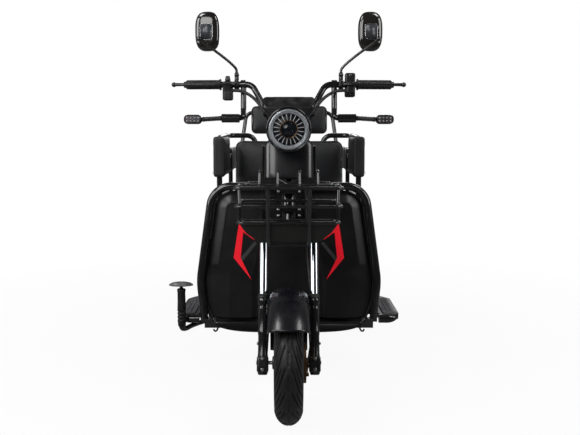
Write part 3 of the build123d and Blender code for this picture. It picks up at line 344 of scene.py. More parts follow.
# ---- Tyres: black rubber on a round carcass, 90 mm wide, with swept grooves that shed water to the sides.
# Each is one surface of revolution; the grooves and the ribs of the wall are pressed into its profile.
def mesh_piece(name, points, faces, material, smooth=True, uv=None):
    """A mesh object from arrays of points and faces, with its finish and, if given, one uv pair for each point."""
    mesh = bpy.data.meshes.new(name)
    mesh.from_pydata(np.asarray(points, float).reshape(-1, 3).tolist(), [], faces)
    if uv is not None:
        layer = mesh.uv_layers.new(name="UVMap")
        corner = np.zeros(len(mesh.loops), np.int32)
        mesh.loops.foreach_get("vertex_index", corner)
        layer.data.foreach_set("uv", np.asarray(uv, float).reshape(-1, 2)[corner].ravel())
    mesh.polygons.foreach_set("use_smooth", np.full(len(mesh.polygons), smooth))
    mesh.materials.append(material)
    piece = bpy.data.objects.new(name, mesh)
    bpy.context.collection.objects.link(piece)
    return piece


def grid_faces(rows, columns, close_rows=False, close_columns=False):
    """Quads between neighbouring points of a grid that is stored row by row; a closed direction wraps round."""
    row = np.arange(rows if close_rows else rows - 1)
    column = np.arange(columns if close_columns else columns - 1)
    a, b = np.meshgrid(row, column, indexing="ij")
    after_a, after_b = (a + 1) % rows, (b + 1) % columns
    corners = [a * columns + b, after_a * columns + b, after_a * columns + after_b, a * columns + after_b]
    return np.stack(corners, -1).reshape(-1, 4).tolist()


def outward(piece, gap=1e-6):
    """Merges points that lie together, such as poles and seams, and turns all faces outwards."""
    work = bmesh.new()
    work.from_mesh(piece.data)
    bmesh.ops.remove_doubles(work, verts=work.verts, dist=gap)
    bmesh.ops.dissolve_degenerate(work, edges=work.edges, dist=gap)
    bmesh.ops.recalc_face_normals(work, faces=work.faces)
    work.to_mesh(piece.data)
    work.free()
    return piece


def place(piece, body, slot, *nodes, padded=None):
    """Lets a piece ride on its body and hides the CAD nodes that it stands for; slot is not used."""
    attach(piece, body)
    if nodes:
        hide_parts(*nodes)
    return piece


def smooth_step(value, low, high):
    """0 below low, 1 above high, and 3t^2 - 2t^3 between."""
    t = np.clip((value - low) / (high - low), 0, 1)
    return t * t * (3 - 2 * t)


tyre_radius = axle[2]
tyre_half = (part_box("rear_left_tyre")[1].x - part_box("rear_left_tyre")[0].x) / 2
bead_radius = 0.112
groove_depth = 0.0052
groove_repeats = 17


def tyre_points(centre):
    """A grid: around the wheel by angle, and across the section from bead to bead.

    Across, x = half * sin(a) and the radius falls from the crown as a power of |sin a|, then bows in to the bead.
    Grooves are bands where a saw wave of (turn + sweep * |x|) is near its middle, deepest on the shoulder."""
    around = np.linspace(0, 2 * math.pi, 780, endpoint=False)[:, None]
    run = np.linspace(-1, 1, 78)[None, :]
    reach = np.abs(run)
    crown = reach < 0.62
    share = np.where(crown, reach / 0.62, (reach - 0.62) / 0.38)
    arc_angle = share * math.radians(74)
    x_crown = (tyre_half - 0.0015) * np.sin(arc_angle) / math.sin(math.radians(74))
    fall = 0.0385 * (1 - np.cos(arc_angle)) / (1 - math.cos(math.radians(74)))
    bow = np.sin(share * math.pi / 2)
    x_wall = tyre_half - 0.0015 + 0.0015 * np.sin(share * math.pi) - 0.0085 * share ** 2.2
    wall_top, wall_low = tyre_radius - 0.0385, bead_radius + 0.0005
    x = np.where(crown, x_crown, x_wall)
    radius = np.where(crown, tyre_radius - fall, wall_top - (wall_top - wall_low) * (0.35 * share + 0.65 * bow ** 1.4))
    phase = groove_repeats * around / (2 * math.pi)
    sweep = phase - 2.1 * (np.abs(x) / tyre_half) ** 1.5
    first = np.abs((sweep % 1) - 0.5)
    middle = np.abs(((sweep + 0.5) % 1) - 0.5)
    body = smooth_step(np.abs(x), 0.006, 0.012) * (1 - smooth_step(np.abs(x), 0.0385, 0.0425))
    short = smooth_step(np.abs(x), 0.02, 0.024) * (1 - smooth_step(np.abs(x), 0.036, 0.04))
    wide = 0.035 + 0.085 * np.abs(x) / tyre_half
    cut = np.maximum((1 - smooth_step(first, wide, wide + 0.06)) * body,
                     (1 - smooth_step(middle, 0.045, 0.1)) * short)
    centre_line = (1 - smooth_step(np.abs(np.abs(x) - 0.0028 * np.sin(phase * 2 * math.pi) * 0.6), 0.0012, 0.0026)) * 0.6
    cut = np.maximum(cut, centre_line * crown)
    radius = radius - groove_depth * cut * crown
    ribs = (np.sin(share * 34) * 0.00035 + smooth_step(share, 0.72, 0.78) * 0.0005) * ~crown
    x = (x + ribs) * np.sign(run) + 0 * around
    radius = radius + 0 * around
    points = np.stack([x, -radius * np.sin(around), radius * np.cos(around)], -1) + centre
    uv = np.stack([around + 0 * run, 0 * around + run], -1)
    return points, uv


def rubber(name, color, rough, bump):
    """Rubber: matt, with a fine mould texture and pale scuffs where it bends."""
    return coated(name, color, rough, spread=0.12, dust=0.4, grain=bump, cells=900, shift=0.2, specular=0.35)


tyre_rubber = rubber("tyre_rubber", (0.0085, 0.0083, 0.0085), 0.46, 0.0002)


for body, word, centre in (("front_wheel", "front", axle), ("rear_left_wheel", "rear_left", rear_axle_left),
                           ("rear_right_wheel", "rear_right", rear_axle_left * (-1, 1, 1))):
    points, uv = tyre_points(centre)
    strips = grid_faces(*points.shape[:2], close_rows=True, close_columns=True)
    tyre = mesh_piece(f"{word}_tyre_tread", points, strips, tyre_rubber, uv=uv)
    place(outward(tyre), body, "tyre", f"{word}_tyre")


# ---- Wheels: cast alloy with five spokes and a brake drum, in satin black, with a valve and drum bolts.
# The casting is the CAD wheel; its bolts, valve and machined hub faces are added here.
def turned(name, profile, foot, axis, material, steps=48, start=0.0):
    """A lathe form: each (distance along the axis, radius) of the profile is carried round the axis.

    A profile that begins and ends at radius 0 gives a closed form."""
    axis = np.asarray(axis, float) / np.linalg.norm(axis)
    helper = np.array((0, 0, 1.0)) if abs(axis[2]) < 0.8 else np.array((0, 1.0, 0))
    across = np.cross(axis, helper)
    across = across / np.linalg.norm(across)
    third = np.cross(axis, across)
    profile = np.asarray(profile, float)
    angle = np.linspace(0, 2 * math.pi, steps, endpoint=False)[:, None] + start
    along, radius = profile[:, 0][None, :], profile[:, 1][None, :]
    points = (np.asarray(foot, float) + along[..., None] * axis
              + (radius * np.cos(angle))[..., None] * across + (radius * np.sin(angle))[..., None] * third)
    return outward(mesh_piece(name, points, grid_faces(steps, len(profile), close_rows=True), material))


def join(name, pieces):
    """Several meshes made into one object; their materials keep to their own faces."""
    bpy.context.view_layer.update()
    with bpy.context.temp_override(active_object=pieces[0], selected_editable_objects=pieces,
                                   selected_objects=pieces, object=pieces[0]):
        bpy.ops.object.join()
    pieces[0].name = name
    pieces[0].data.name = name
    return pieces[0]


def bolt(name, foot, axis, material, size=0.008, length=0.005):
    """A hexagon bolt head with a chamfered crown and a washer under it."""
    head = size / 2
    washer = turned(name + "_washer", [(0, 0), (0, head * 1.5), (0.0012, head * 1.5), (0.0012, 0)],
                    foot, axis, material, 20)
    crown = turned(name + "_crown", [(0.0011, 0), (0.0011, head * 1.12), (length * 0.82, head * 1.12),
                                     (length, head * 0.9), (length, 0)], foot, axis, material, 6)
    crown.data.polygons.foreach_set("use_smooth", np.zeros(len(crown.data.polygons), bool))
    return [washer, crown]


def ring_of_bolts(name, centre, axis, radius, count, material, size=0.008, start=0.0):
    """Bolts evenly round a circle that stands square to the axis."""
    axis = np.asarray(axis, float) / np.linalg.norm(axis)
    helper = np.array((0, 0, 1.0)) if abs(axis[2]) < 0.8 else np.array((0, 1.0, 0))
    across = np.cross(axis, helper)
    third = np.cross(axis, across)
    parts = []
    for number in range(count):
        turn = start + 2 * math.pi * number / count
        foot = np.asarray(centre) + radius * (math.cos(turn) * across + math.sin(turn) * third)
        parts += bolt(f"{name}_{number}", foot, axis, material, size)
    return parts


cast_black = coated("satin_black_casting", (0.014, 0.014, 0.015), 0.38, 0.1, 0.25, grain=0.00012, cells=1500)
zinc = coated("zinc_plate", (0.42, 0.42, 0.43), 0.32, 0.12, 0.2, metallic=1.0, shift=0.2)
dress(cast_black, "front_rim", "rear_left_rim", "rear_right_rim")
hub_end = 0.046
for body, word, centre, drum in (("front_wheel", "front", axle, 1),
                                 ("rear_left_wheel", "rear_left", rear_axle_left, -1),
                                 ("rear_right_wheel", "rear_right", rear_axle_left * (-1, 1, 1), 1)):
    face = centre + np.array((-drum * 0.0141, 0, 0))
    parts = ring_of_bolts(word + "_bolt", face, (-drum, 0, 0), 0.034, 5, zinc, 0.010, math.radians(54))
    stem = turned(word + "_valve", [(0, 0), (0, 0.004), (0.012, 0.0035), (0.013, 0.0028), (0.026, 0.0028),
                                    (0.027, 0.0036), (0.034, 0.0036), (0.035, 0)],
                  centre + np.array((-drum * 0.02, 0, -0.0995)), (-drum * 0.6, 0, 0.8), tyre_rubber, 16)
    cap = turned(word + "_hub_cap", [(-0.001, 0), (-0.001, 0.0215), (0.003, 0.0215), (0.006, 0.018), (0.0065, 0.009),
                                     (0.0065, 0)], centre + np.array((-drum * hub_end, 0, 0)), (-drum, 0, 0), cast_black)
    place(join(word + "_wheel_fittings", parts + [stem, cap]), body, "wheel_paint")


# ---- Telescopic fork: chromed stanchions slide in cast sliders, with a rubber wiper at each mouth.
# The sliders carry the axle in a clamped foot and the mudguard on two screwed lugs.
leg_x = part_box("fork_stanchions")[1].x - 0.0145
fork_offset = 0.035
slider_low, slider_mouth = -0.038, 0.204


def steered(x, back, along):
    """A point given in the steering's own frame: across, behind the axis, and up along it."""
    return steer_foot + np.array((x, 0, 0)) + back * steer_back + along * steer_up


def rounded_block(name, low, high, radius, material, fine=3, bend=None):
    """A block with rounded edges: points of a cube's skin, drawn to the inner box and pushed out by the radius.

    bend may move the points, given as an array, to a new array."""
    low, high = np.asarray(low, float), np.asarray(high, float)
    middle, half = (low + high) / 2, (high - low) / 2
    inner = np.maximum(half - radius, 1e-5)
    turn = np.tan(np.linspace(0, math.pi / 4, fine + 1))
    stations = [np.concatenate([-(i + radius * turn[::-1]), np.linspace(-i, i, 5)[1:-1], i + radius * turn])
                for i in inner]
    points, faces, count = [], [], 0
    for axis in range(3):
        first, second = (axis + 1) % 3, (axis + 2) % 3
        for end in sides:
            a, b = np.meshgrid(stations[first], stations[second], indexing="ij")
            skin = np.zeros(a.shape + (3,))
            skin[..., first], skin[..., second] = a, b
            skin[..., axis] = end * (inner[axis] + radius)
            faces += [[v + count for v in quad] for quad in grid_faces(*a.shape)]
            points.append(skin.reshape(-1, 3))
            count += a.size
    skin = np.concatenate(points)
    core = np.clip(skin, -inner, inner)
    away = skin - core
    length = np.linalg.norm(away, axis=1, keepdims=True)
    skin = core + radius * away / np.maximum(length, 1e-9) + middle
    if bend is not None:
        skin = bend(skin)
    return outward(mesh_piece(name, skin, faces, material), 2e-5)


def turned_to_steering(points):
    """Points given as (across, behind, along) in the steering's frame, put into the vehicle's frame."""
    return steer_foot + points @ np.array([(1, 0, 0), steer_back, steer_up])


fork_paint = coated("fork_gloss_black", (0.01, 0.01, 0.011), 0.22, 0.1, 0.12, coat=0.4, peel=0.00006)
chrome = coated("hard_chrome", (0.46, 0.49, 0.53), 0.12, 0.05, 0.06, metallic=1.0, shift=0.03)
seal_rubber = rubber("seal_rubber", (0.02, 0.02, 0.021), 0.5, 0.00015)
dress(chrome, "fork_stanchions")
dress(zinc, "front_axle")
slider_profile = [(slider_low, 0), (slider_low, 0.0125), (-0.034, 0.0155), (-0.02, 0.0168), (0.02, 0.0168), (0.03, 0.0155),
                  (0.085, 0.0152), (0.09, 0.0163), (0.1, 0.0163), (0.105, 0.0155), (0.165, 0.0158), (0.168, 0.0172),
                  (0.172, 0.0172), (0.174, 0.0162), (0.182, 0.0162), (0.185, 0.0181), (0.2, 0.0181), (slider_mouth, 0.0174),
                  (slider_mouth, 0.0147), (0.19, 0.0147), (0.19, 0)]
wiper_profile = [(0.2, 0), (slider_mouth - 0.001, 0.0147), (slider_mouth, 0.0184), (0.2075, 0.0184), (0.2085, 0.0176), (0.2105, 0.0176),
                 (0.2115, 0.0184), (0.2135, 0.0182), (0.2175, 0.0152), (0.2175, 0)]
legs, wipers = [], []
for side in sides:
    foot = steered(side * leg_x, -fork_offset, 0)
    legs.append(turned(f"slider_{side}", slider_profile, foot, steer_up, fork_paint, 40))
    legs.append(rounded_block(f"axle_clamp_{side}", (side * leg_x - 0.0182, -fork_offset - 0.021, -0.03),
                              (side * leg_x + 0.0182, -fork_offset + 0.021, 0.02), 0.006, fork_paint,
                              bend=turned_to_steering))
    inner_face = side * 0.0643
    legs.append(rounded_block(f"mudguard_lug_{side}", (min(inner_face, inner_face + side * 0.009), -fork_offset - 0.012, 0.15),
                              (max(inner_face, inner_face + side * 0.009), -fork_offset + 0.012, 0.203), 0.003, fork_paint,
                              bend=turned_to_steering))
    for along in (-0.022, 0.012):
        legs += bolt(f"clamp_bolt_{side}_{along}", steered(side * leg_x, -fork_offset - 0.0205, along), -steer_back, zinc, 0.008)
    legs += bolt(f"drain_{side}", steered(side * (leg_x + 0.0155), -fork_offset, 0.06), (side, 0, 0), zinc, 0.007, 0.004)
    wipers.append(turned(f"wiper_{side}", wiper_profile, foot, steer_up, seal_rubber, 40))
place(join("fork_slider_castings", legs), "steering", "frame_paint", "fork_sliders")
place(join("fork_wipers", wipers), "steering", "rubber")
caps = []
for side in sides:
    caps.append(turned(f"fork_cap_{side}", [(0.434, 0), (0.434, 0.0135), (0.4365, 0.0148), (0.44, 0.0148), (0.4425, 0.012),
                                            (0.4425, 0)], steered(side * leg_x, -fork_offset, 0), steer_up, zinc, 6))
place(join("fork_caps", caps), "steering", "steel")


# ---- Front mudguard: one thin gloss black moulding, domed across and curved round the tyre.
# It is screwed to the sliders' lugs, and a flat steel stay on each side holds its rear edge.
def carried(name, path, radius, material, steps=16, flat=1.0, reference=(0, 0, 1)):
    """A round or flattened bar along a path of points; the radius may be one number for each point.

    Each ring stands square to the path, and both ends close on a pole."""
    path = np.asarray(path, float)
    radius = np.broadcast_to(np.asarray(radius, float), (len(path),))
    path = np.concatenate([path[:1], path, path[-1:]])
    radius = np.concatenate([[0], radius, [0]])
    tangent = np.gradient(path, axis=0)
    tangent[0], tangent[-1] = tangent[1], tangent[-2]
    tangent = tangent / np.linalg.norm(tangent, axis=1, keepdims=True)
    across = np.cross(tangent, reference)
    across = across / np.maximum(np.linalg.norm(across, axis=1, keepdims=True), 1e-9)
    third = np.cross(tangent, across)
    angle = np.linspace(0, 2 * math.pi, steps, endpoint=False)
    points = (path[:, None] + (radius[:, None] * np.cos(angle))[..., None] * across[:, None]
              + (flat * radius[:, None] * np.sin(angle))[..., None] * third[:, None])
    return outward(mesh_piece(name, points, grid_faces(len(path), steps, close_columns=True), material), 1e-7)


def rounded_path(points, rounds=3):
    """A run of points with its corners cut again and again, each time at a quarter of both neighbours' lengths."""
    points = np.asarray(points, float)
    for _ in range(rounds):
        near, far = points[:-1], points[1:]
        cut = np.stack([near * 0.75 + far * 0.25, near * 0.25 + far * 0.75], 1).reshape(-1, 3)
        points = np.concatenate([points[:1], cut, points[-1:]])
    return points


def thicken(piece, thickness, offset=-1.0, bevel=0.0):
    """Gives a sheet its wall with Solidify, and rounds its edges if asked."""
    wall = piece.modifiers.new("wall", "SOLIDIFY")
    wall.thickness = thickness
    wall.offset = offset
    if bevel:
        edge = piece.modifiers.new("edge", "BEVEL")
        edge.width = bevel
        edge.segments = 2
        edge.limit_method = "ANGLE"
    return piece


mudguard_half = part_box("front_mudguard")[1].x
mudguard_crown = 0.240
mudguard_skirt = 0.197
moulded_gloss = coated("moulded_gloss_black", (0.004, 0.004, 0.006), 0.27, 0.05, 0.03, coat=0.12, peel=0.00003)


def mudguard_points(start=50.0, end=-99.0):
    """Round the axle from start to end, in degrees forward of the top; across, a superellipse of power 2.4.

    The skirts flare by the cube of their depth, and both ends are drawn in to a rounded outline."""
    turn = np.radians(np.linspace(start, end, 90))[:, None]
    run = np.linspace(-1, 1, 56)[None, :]
    lean = run * math.pi / 2
    power = 2 / 2.4
    x = mudguard_half * 0.985 * np.sign(lean) * np.abs(np.sin(lean)) ** power
    rise = np.abs(np.cos(lean)) ** power
    flare = np.where(rise < 0.35, (0.35 - rise) / 0.35, 0) ** 2 * 0.001
    radius = mudguard_skirt + (mudguard_crown - mudguard_skirt) * rise
    trim = (1 - np.cos(lean)) * 0.05
    position = np.linspace(0, 1, 90)[:, None]
    turn = turn - (1 - position) ** 6 * trim + position ** 6 * trim
    swell = 0.0012 * (np.exp(-position * 80) + np.exp(-(1 - position) * 80))
    radius = radius + swell - 0.0012
    return np.stack([x + np.sign(x) * flare + 0 * turn, -radius * np.sin(turn), radius * np.cos(turn)], -1) + axle


points = mudguard_points()
mudguard = mesh_piece("front_mudguard_moulding", points, grid_faces(*points.shape[:2]), moulded_gloss)
outward(mudguard)
place(thicken(mudguard, 0.0028), "steering", "gloss_black", "front_mudguard")
stays = []
for side in sides:
    for turn in (-20, -62):
        rim_point = axle + np.array((side * 0.0652, -0.2 * math.sin(math.radians(turn)), 0.2 * math.cos(math.radians(turn))))
        foot = steered(side * 0.0675, -fork_offset + 0.004, 0.035)
        stays.append(carried(f"stay_{side}_{turn}", [foot, foot * 0.5 + rim_point * 0.5, rim_point], 0.0065, fork_paint, 12, 0.2,
                             (1, 0, 0)))
        stays += bolt(f"stay_bolt_{side}_{turn}", rim_point + np.array((side * 0.001, 0, 0)), (side, 0, 0), zinc, 0.006, 0.003)
place(join("mudguard_stays", stays), "steering", "frame_paint")


# ---- Front drum brake: a pressed back plate with a copper-coloured arm, return spring and cable end.
# The plate is the CAD one; the spring, adjusting nut and pivot bolt are fitted to it here.
brass_plate = coated("copper_brown_cast", (0.10, 0.058, 0.030), 0.46, 0.15, 0.35, metallic=0.85, shift=0.35)
dress(brass_plate, "brake_plate")
dress(seal_rubber, "front_brake_cable")
cable_end = np.array((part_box("brake_plate")[1].x - 0.0035, axle[1] + 0.080, axle[2] - 0.050))
turns = np.linspace(0, 2 * math.pi * 9, 216)
spring_path = cable_end + np.stack([0.006 * np.cos(turns), 0.006 * np.sin(turns) + 0.0 * turns, 0.010 + 0.030 * turns / turns[-1]], -1)
brake_bits = [carried("return_spring", spring_path, 0.0011, zinc, 8),
              turned("adjusting_nut", [(0, 0), (0, 0.006), (0.009, 0.006), (0.011, 0.004), (0.013, 0.004), (0.013, 0)],
                     cable_end - np.array((0, 0, 0.022)), (0, 0, 1), brass_plate, 8)]
brake_bits += bolt("arm_pivot", (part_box("brake_plate")[1].x - 0.002, axle[1] + 0.042, axle[2] - 0.026), (1, 0, 0), zinc, 0.009)
place(join("front_brake_fittings", brake_bits), "steering", "steel")


# ---- Leg shield: a satin black moulding inside the guard tube, with a sloped band round its edge.
# Its middle is sunk behind the fork, the band broadens to a facet below the hips, and stripes lie on its face.
def rounded_corners(points, reach, steps=6):
    """A closed outline whose corners become curves, each begun at the given distance before its corner."""
    points = np.asarray(points, float)
    share = np.linspace(0, 1, steps)[:, None]
    curves = []
    for last, corner, following, part in zip(np.roll(points, 1, 0), points, np.roll(points, -1, 0),
                                             np.broadcast_to(reach, len(points))):
        start = corner + (last - corner) / np.linalg.norm(last - corner) * part
        end = corner + (following - corner) / np.linalg.norm(following - corner) * part
        curves.append((1 - share) ** 2 * start + 2 * share * (1 - share) * corner + share ** 2 * end)
    return np.concatenate(curves)


def plate(name, outline, low, high, material, seat=None, bevel=0.001):
    """A flat piece between two levels over an outline; seat may turn its points into place."""
    outline = np.asarray(outline, float)
    count = len(outline)
    points = np.concatenate([np.column_stack([outline, np.full(count, level)]) for level in (low, high)])
    ring = np.arange(count)
    walls = np.stack([ring, (ring + 1) % count, count + (ring + 1) % count, count + ring], -1).tolist()
    piece = mesh_piece(name, points if seat is None else seat(points),
                       [ring[::-1].tolist(), (ring + count).tolist()] + walls, material)
    outward(piece)
    if bevel:
        edge = piece.modifiers.new("edge", "BEVEL")
        edge.width = bevel
        edge.segments = 2
        edge.limit_method = "ANGLE"
        edge.angle_limit = math.radians(40)
        edge.harden_normals = True
    else:
        piece.data.set_sharp_from_angle(angle=math.radians(35))
    return piece


shield_foot = np.array((0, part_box("floor_pan")[0].y, 0.240))
shield_lean = math.radians(5.1)
shield_up = np.array((0, math.sin(shield_lean), math.cos(shield_lean)))
shield_out = np.array((0, -math.cos(shield_lean), math.sin(shield_lean)))
shield_low, shield_top, shield_corner = 0.019, 0.4742, 0.061
shield_face, shield_rim, band_width, crease_x = 0.0128, -0.009, 0.040, 0.214


def on_shield(points):
    """Points given as (across, up, out of the shield's plane), put into the vehicle's frame."""
    points = np.asarray(points, float)
    return shield_foot + points @ np.array([(1, 0, 0), shield_up, shield_out])


def shield_half_width(up):
    """Half width of the panel by height: out to the hips, then in towards the top."""
    return np.interp(up, (shield_low, 0.074, 0.152, shield_top), (0.272, 0.294, 0.3012, 0.2562))


def shield_height(x, up):
    """Height over the shield's plane: a ramp by the distance from the rounded outline, less the central recess.

    The distance near a top corner is r - sqrt((r - a)^2 + (r - b)^2), with a from the side and b from the top."""
    side_way = shield_half_width(up) - np.abs(x)
    top_way = shield_top - up
    left_a = np.maximum(shield_corner - side_way, 0)
    left_b = np.maximum(shield_corner - top_way, 0)
    inward = np.where((left_a > 0) & (left_b > 0), shield_corner - np.hypot(left_a, left_b),
                      np.minimum(side_way, top_way))
    width = band_width + (shield_half_width(up) - crease_x - band_width) * (1 - smooth_step(up, 0.178, 0.212))
    ramp = np.clip((inward - 0.002) / np.maximum(width, 0.02), 0, 1)
    ramp = ramp - 0.02 * np.sin(ramp * 2 * math.pi)
    bead = 0.0009 * np.exp(-((inward - width - 0.004) / 0.0013) ** 2) * smooth_step(up, 0.2, 0.25)
    rim = 0.004 * (1 - smooth_step(inward, 0, 0.003))
    mouth = np.interp(up, (shield_low, 0.157, 0.215, 0.30, 0.44), (0.131, 0.131, 0.116, 0.100, 0.088)) - np.abs(x)
    sunk = 0.012 * smooth_step(mouth, 0, 0.010) * (1 - smooth_step(up, 0.442, 0.452))
    insert = 0.0009 * smooth_step(0.0012 - np.abs(mouth + 0.012), 0, 0.0006) * smooth_step(up, 0.16, 0.17)
    return shield_rim + (shield_face - shield_rim) * ramp + bead - rim - sunk - insert


neck_x, neck_up, neck_round = 0.028, 0.045, 0.02
neck_place = np.array((0, 0.406))


def from_neck_hole(points):
    """Distance of points (across, up) from the edge of the rounded hole for the frame's neck, below 0 inside."""
    away = np.abs(points - neck_place) - np.array((neck_x, neck_up)) + neck_round
    return np.linalg.norm(np.maximum(away, 0), axis=-1) + np.minimum(away.max(-1), 0) - neck_round


def shield_piece(material):
    """The panel as a grid: rows up, closer in the rounded top, and columns across, with a rim turned back."""
    straight = np.linspace(shield_low, shield_top - shield_corner, 96)[:-1]
    rounded = shield_top - shield_corner * (1 - np.sin(np.linspace(0, math.pi / 2, 34)))
    up = np.concatenate([straight, rounded])[:, None]
    run = np.linspace(-1, 1, 181)[None, :]
    run = 0.75 * run + 0.25 * np.sin(run * math.pi / 2)
    into = np.maximum(up - (shield_top - shield_corner), 0)
    half = shield_half_width(up) - shield_corner + np.sqrt(shield_corner ** 2 - into ** 2)
    x, up = run * half, up + 0 * run
    flat = np.stack([x, up], -1)
    near = from_neck_hole(flat)
    from_middle = flat - neck_place
    reach = np.linalg.norm(from_middle, axis=-1)
    snap = np.where(np.abs(near) < 0.0022, near / np.maximum(reach, 1e-6), 0)[..., None]
    flat = flat - from_middle * snap
    grid = np.concatenate([flat, shield_height(flat[..., 0], flat[..., 1])[..., None]], -1)
    grid = np.concatenate([grid[:, :1], grid, grid[:, -1:]], 1)
    grid = np.concatenate([grid[:1], grid, grid[-1:]], 0)
    for edge in (grid[0], grid[-1], grid[:, 0], grid[:, -1]):
        edge[:, 2] = -0.0125
    flat = grid[..., :2]
    faces = np.array(grid_faces(*flat.shape[:2]))
    kept = from_neck_hole(flat.reshape(-1, 2)[faces].mean(1)) > 0
    return outward(mesh_piece("leg_shield_moulding", on_shield(grid.reshape(-1, 3)), faces[kept].tolist(), material), 1e-7)


satin_black = coated("moulded_satin_black", (0.0058, 0.0058, 0.0060), 0.34, 0.1, 0.06, grain=0.00004, cells=1600, specular=0.38)
trim_grey = coated("trim_grey", (0.034, 0.034, 0.036), 0.4, 0.1, 0.1, grain=0.00004, cells=1600)
stripe_red = coated("stripe_red_film", (0.98, 0.002, 0.018), 0.4, 0.06, 0.03, shift=0.02)
place(shield_piece(satin_black), "frame", "matte_black", "leg_shield")
dress(stripe_red, "accent_stripes")
trims = []
for side in sides:
    low_end, high_end = np.array((side * 0.1695, 0.226)), np.array((side * 0.1175, 0.2895))
    across = (high_end - low_end)[::-1] * (-1, 1) / np.linalg.norm(high_end - low_end) * 0.0065
    band = rounded_corners([low_end - across, high_end - across * 0.85, high_end + across * 0.85, low_end + across], 0.002)
    trims.append(plate(f"diagonal_trim_{side}", band, shield_face - 0.0005, shield_face + 0.0012, trim_grey, on_shield, 0.0005))
place(join("diagonal_trims", trims), "frame", "matte_black")


# The foot strip closes the shield's foot. The side strips are black rubber laid in the gap between the shield and the
# guard tube. They stand in for the shade in that gap: a dark filler, not a seal.
foot_seal = on_shield(np.array([(side * x, 0.0115, -0.019) for side, x in ((-1, 0.262), (-1, 0.14), (1, 0.14), (1, 0.262))]))
seal_and_shade_strips = [carried("foot_strip", foot_seal, 0.0085, seal_rubber, 14)]
for side in sides:
    up = np.linspace(0.010, 0.30, 30)
    side_shade_filler = on_shield(np.stack([side * (shield_half_width(up) + 0.003), up, np.full(30, -0.0165)], -1))
    seal_and_shade_strips.append(carried(f"side_shade_strip_{side}", side_shade_filler, 0.0058, seal_rubber, 14))
place(join("shield_seal_and_shade_strips", seal_and_shade_strips), "frame", "rubber")


# ---- Inner shield: the rider's side of the leg shield, grained plastic, with a glove box, a lock and a bag hook.
# The moulding is the CAD one; the lid, its catch and the hook are fitted to its rear face.
grained_black = coated("grained_black_plastic", (0.02, 0.02, 0.021), 0.48, 0.12, 0.3, grain=0.00022, cells=900)
dress(grained_black, "inner_shield")
inner_back = -0.0883


def inner_panel(name, x, up, half_x, half_up, corner, high, material, bevel=0.0015):
    """A rounded panel on the inner shield's rear face."""
    outline = rounded_corners([(x - half_x, up - half_up), (x + half_x, up - half_up),
                               (x + half_x, up + half_up), (x - half_x, up + half_up)], corner)
    return plate(name, outline, inner_back - high, inner_back + 0.001, material, on_shield, bevel)


inner_bits = [inner_panel("glove_lid", -0.115, 0.315, 0.075, 0.058, 0.012, 0.004, grained_black),
              inner_panel("glove_catch", -0.115, 0.356, 0.018, 0.008, 0.004, 0.008, moulded_gloss),
              inner_panel("charge_flap", 0.13, 0.26, 0.03, 0.03, 0.01, 0.005, moulded_gloss),
              inner_panel("hook_plate", 0.0, 0.315, 0.016, 0.028, 0.008, 0.004, zinc)]
hook_path = on_shield([(0, 0.322, inner_back - 0.003), (0, 0.322, inner_back - 0.018), (0, 0.312, inner_back - 0.032),
                       (0, 0.298, inner_back - 0.030), (0, 0.292, inner_back - 0.02), (0, 0.30, inner_back - 0.013)])
inner_bits.append(carried("bag_hook", rounded_path(hook_path), 0.0035, zinc, 14, 1.0, (1, 0, 0)))
place(join("inner_shield_fittings", inner_bits), "frame", "matte_black")


# ---- Floor: a black moulded pan with a rolled gloss lip on each footboard, and ribbed grey rubber mats.
# Under it hang the belly tray and a curved valance across the front.
floor_low, floor_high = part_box("floor_pan")[0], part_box("floor_pan")[1]
floor_top = floor_high.z
floor_thick = 0.020
board_half, body_half = floor_high.x, 0.300
board_front, board_rear, floor_rear = floor_low.y, floor_low.y + 0.315, floor_high.y
guard_clear = 0.328
inner_front = board_front + 0.013 + 0.079
half_floor = [(body_half, floor_rear), (body_half, board_rear), (board_half - 0.040, board_rear),
              (board_half, board_rear - 0.055), (board_half, board_front + 0.030), (board_half - 0.016, board_front + 0.012),
              (guard_clear, board_front + 0.012), (guard_clear, board_front + 0.030), (body_half, inner_front)]
whole_floor = [(-x, y) for x, y in half_floor] + half_floor[::-1]
floor_outline = rounded_corners(whole_floor, [0.004, 0.006, 0.014, 0.02, 0.008, 0.006, 0.003, 0.006, 0.006] * 2, 5)
floor_bits = [plate("floor_panel", floor_outline, floor_top - floor_thick, floor_top - 0.0002, satin_black, None, 0.004)]
lip_gloss = coated("lip_gloss_black", (0.007, 0.007, 0.008), 0.16, 0.06, 0.06, coat=0.5)
for side in sides:
    run = np.linspace(0, 1, 40)
    tip = np.clip((run - 0.45) / 0.55, 0, 1)
    roll = 0.0154 * np.sqrt(1 - 0.82 * tip ** 2)
    line = np.stack([side * (guard_clear - 0.005 + (board_half - 0.0025 - guard_clear) * run),
                     board_front + 0.0160 + 0.012 * tip ** 3, floor_top - 0.0006 - roll], -1)
    floor_bits.append(carried(f"footboard_lip_{side}", line, roll, lip_gloss, 28))
    floor_bits.append(carried(f"footboard_rim_{side}", rounded_path(
        [(side * (board_half - 0.009), board_front + 0.024, floor_top - 0.010),
         (side * (board_half - 0.0075), board_front + 0.045, floor_top - 0.012),
         (side * (board_half - 0.0075), board_rear - 0.058, floor_top - 0.012),
         (side * (board_half - 0.044), board_rear - 0.006, floor_top - 0.012)]), 0.0072, lip_gloss, 14, 1.5, (0, 0, 1)))
place(join("floor_moulding", floor_bits), "frame", "matte_black", "floor_pan")


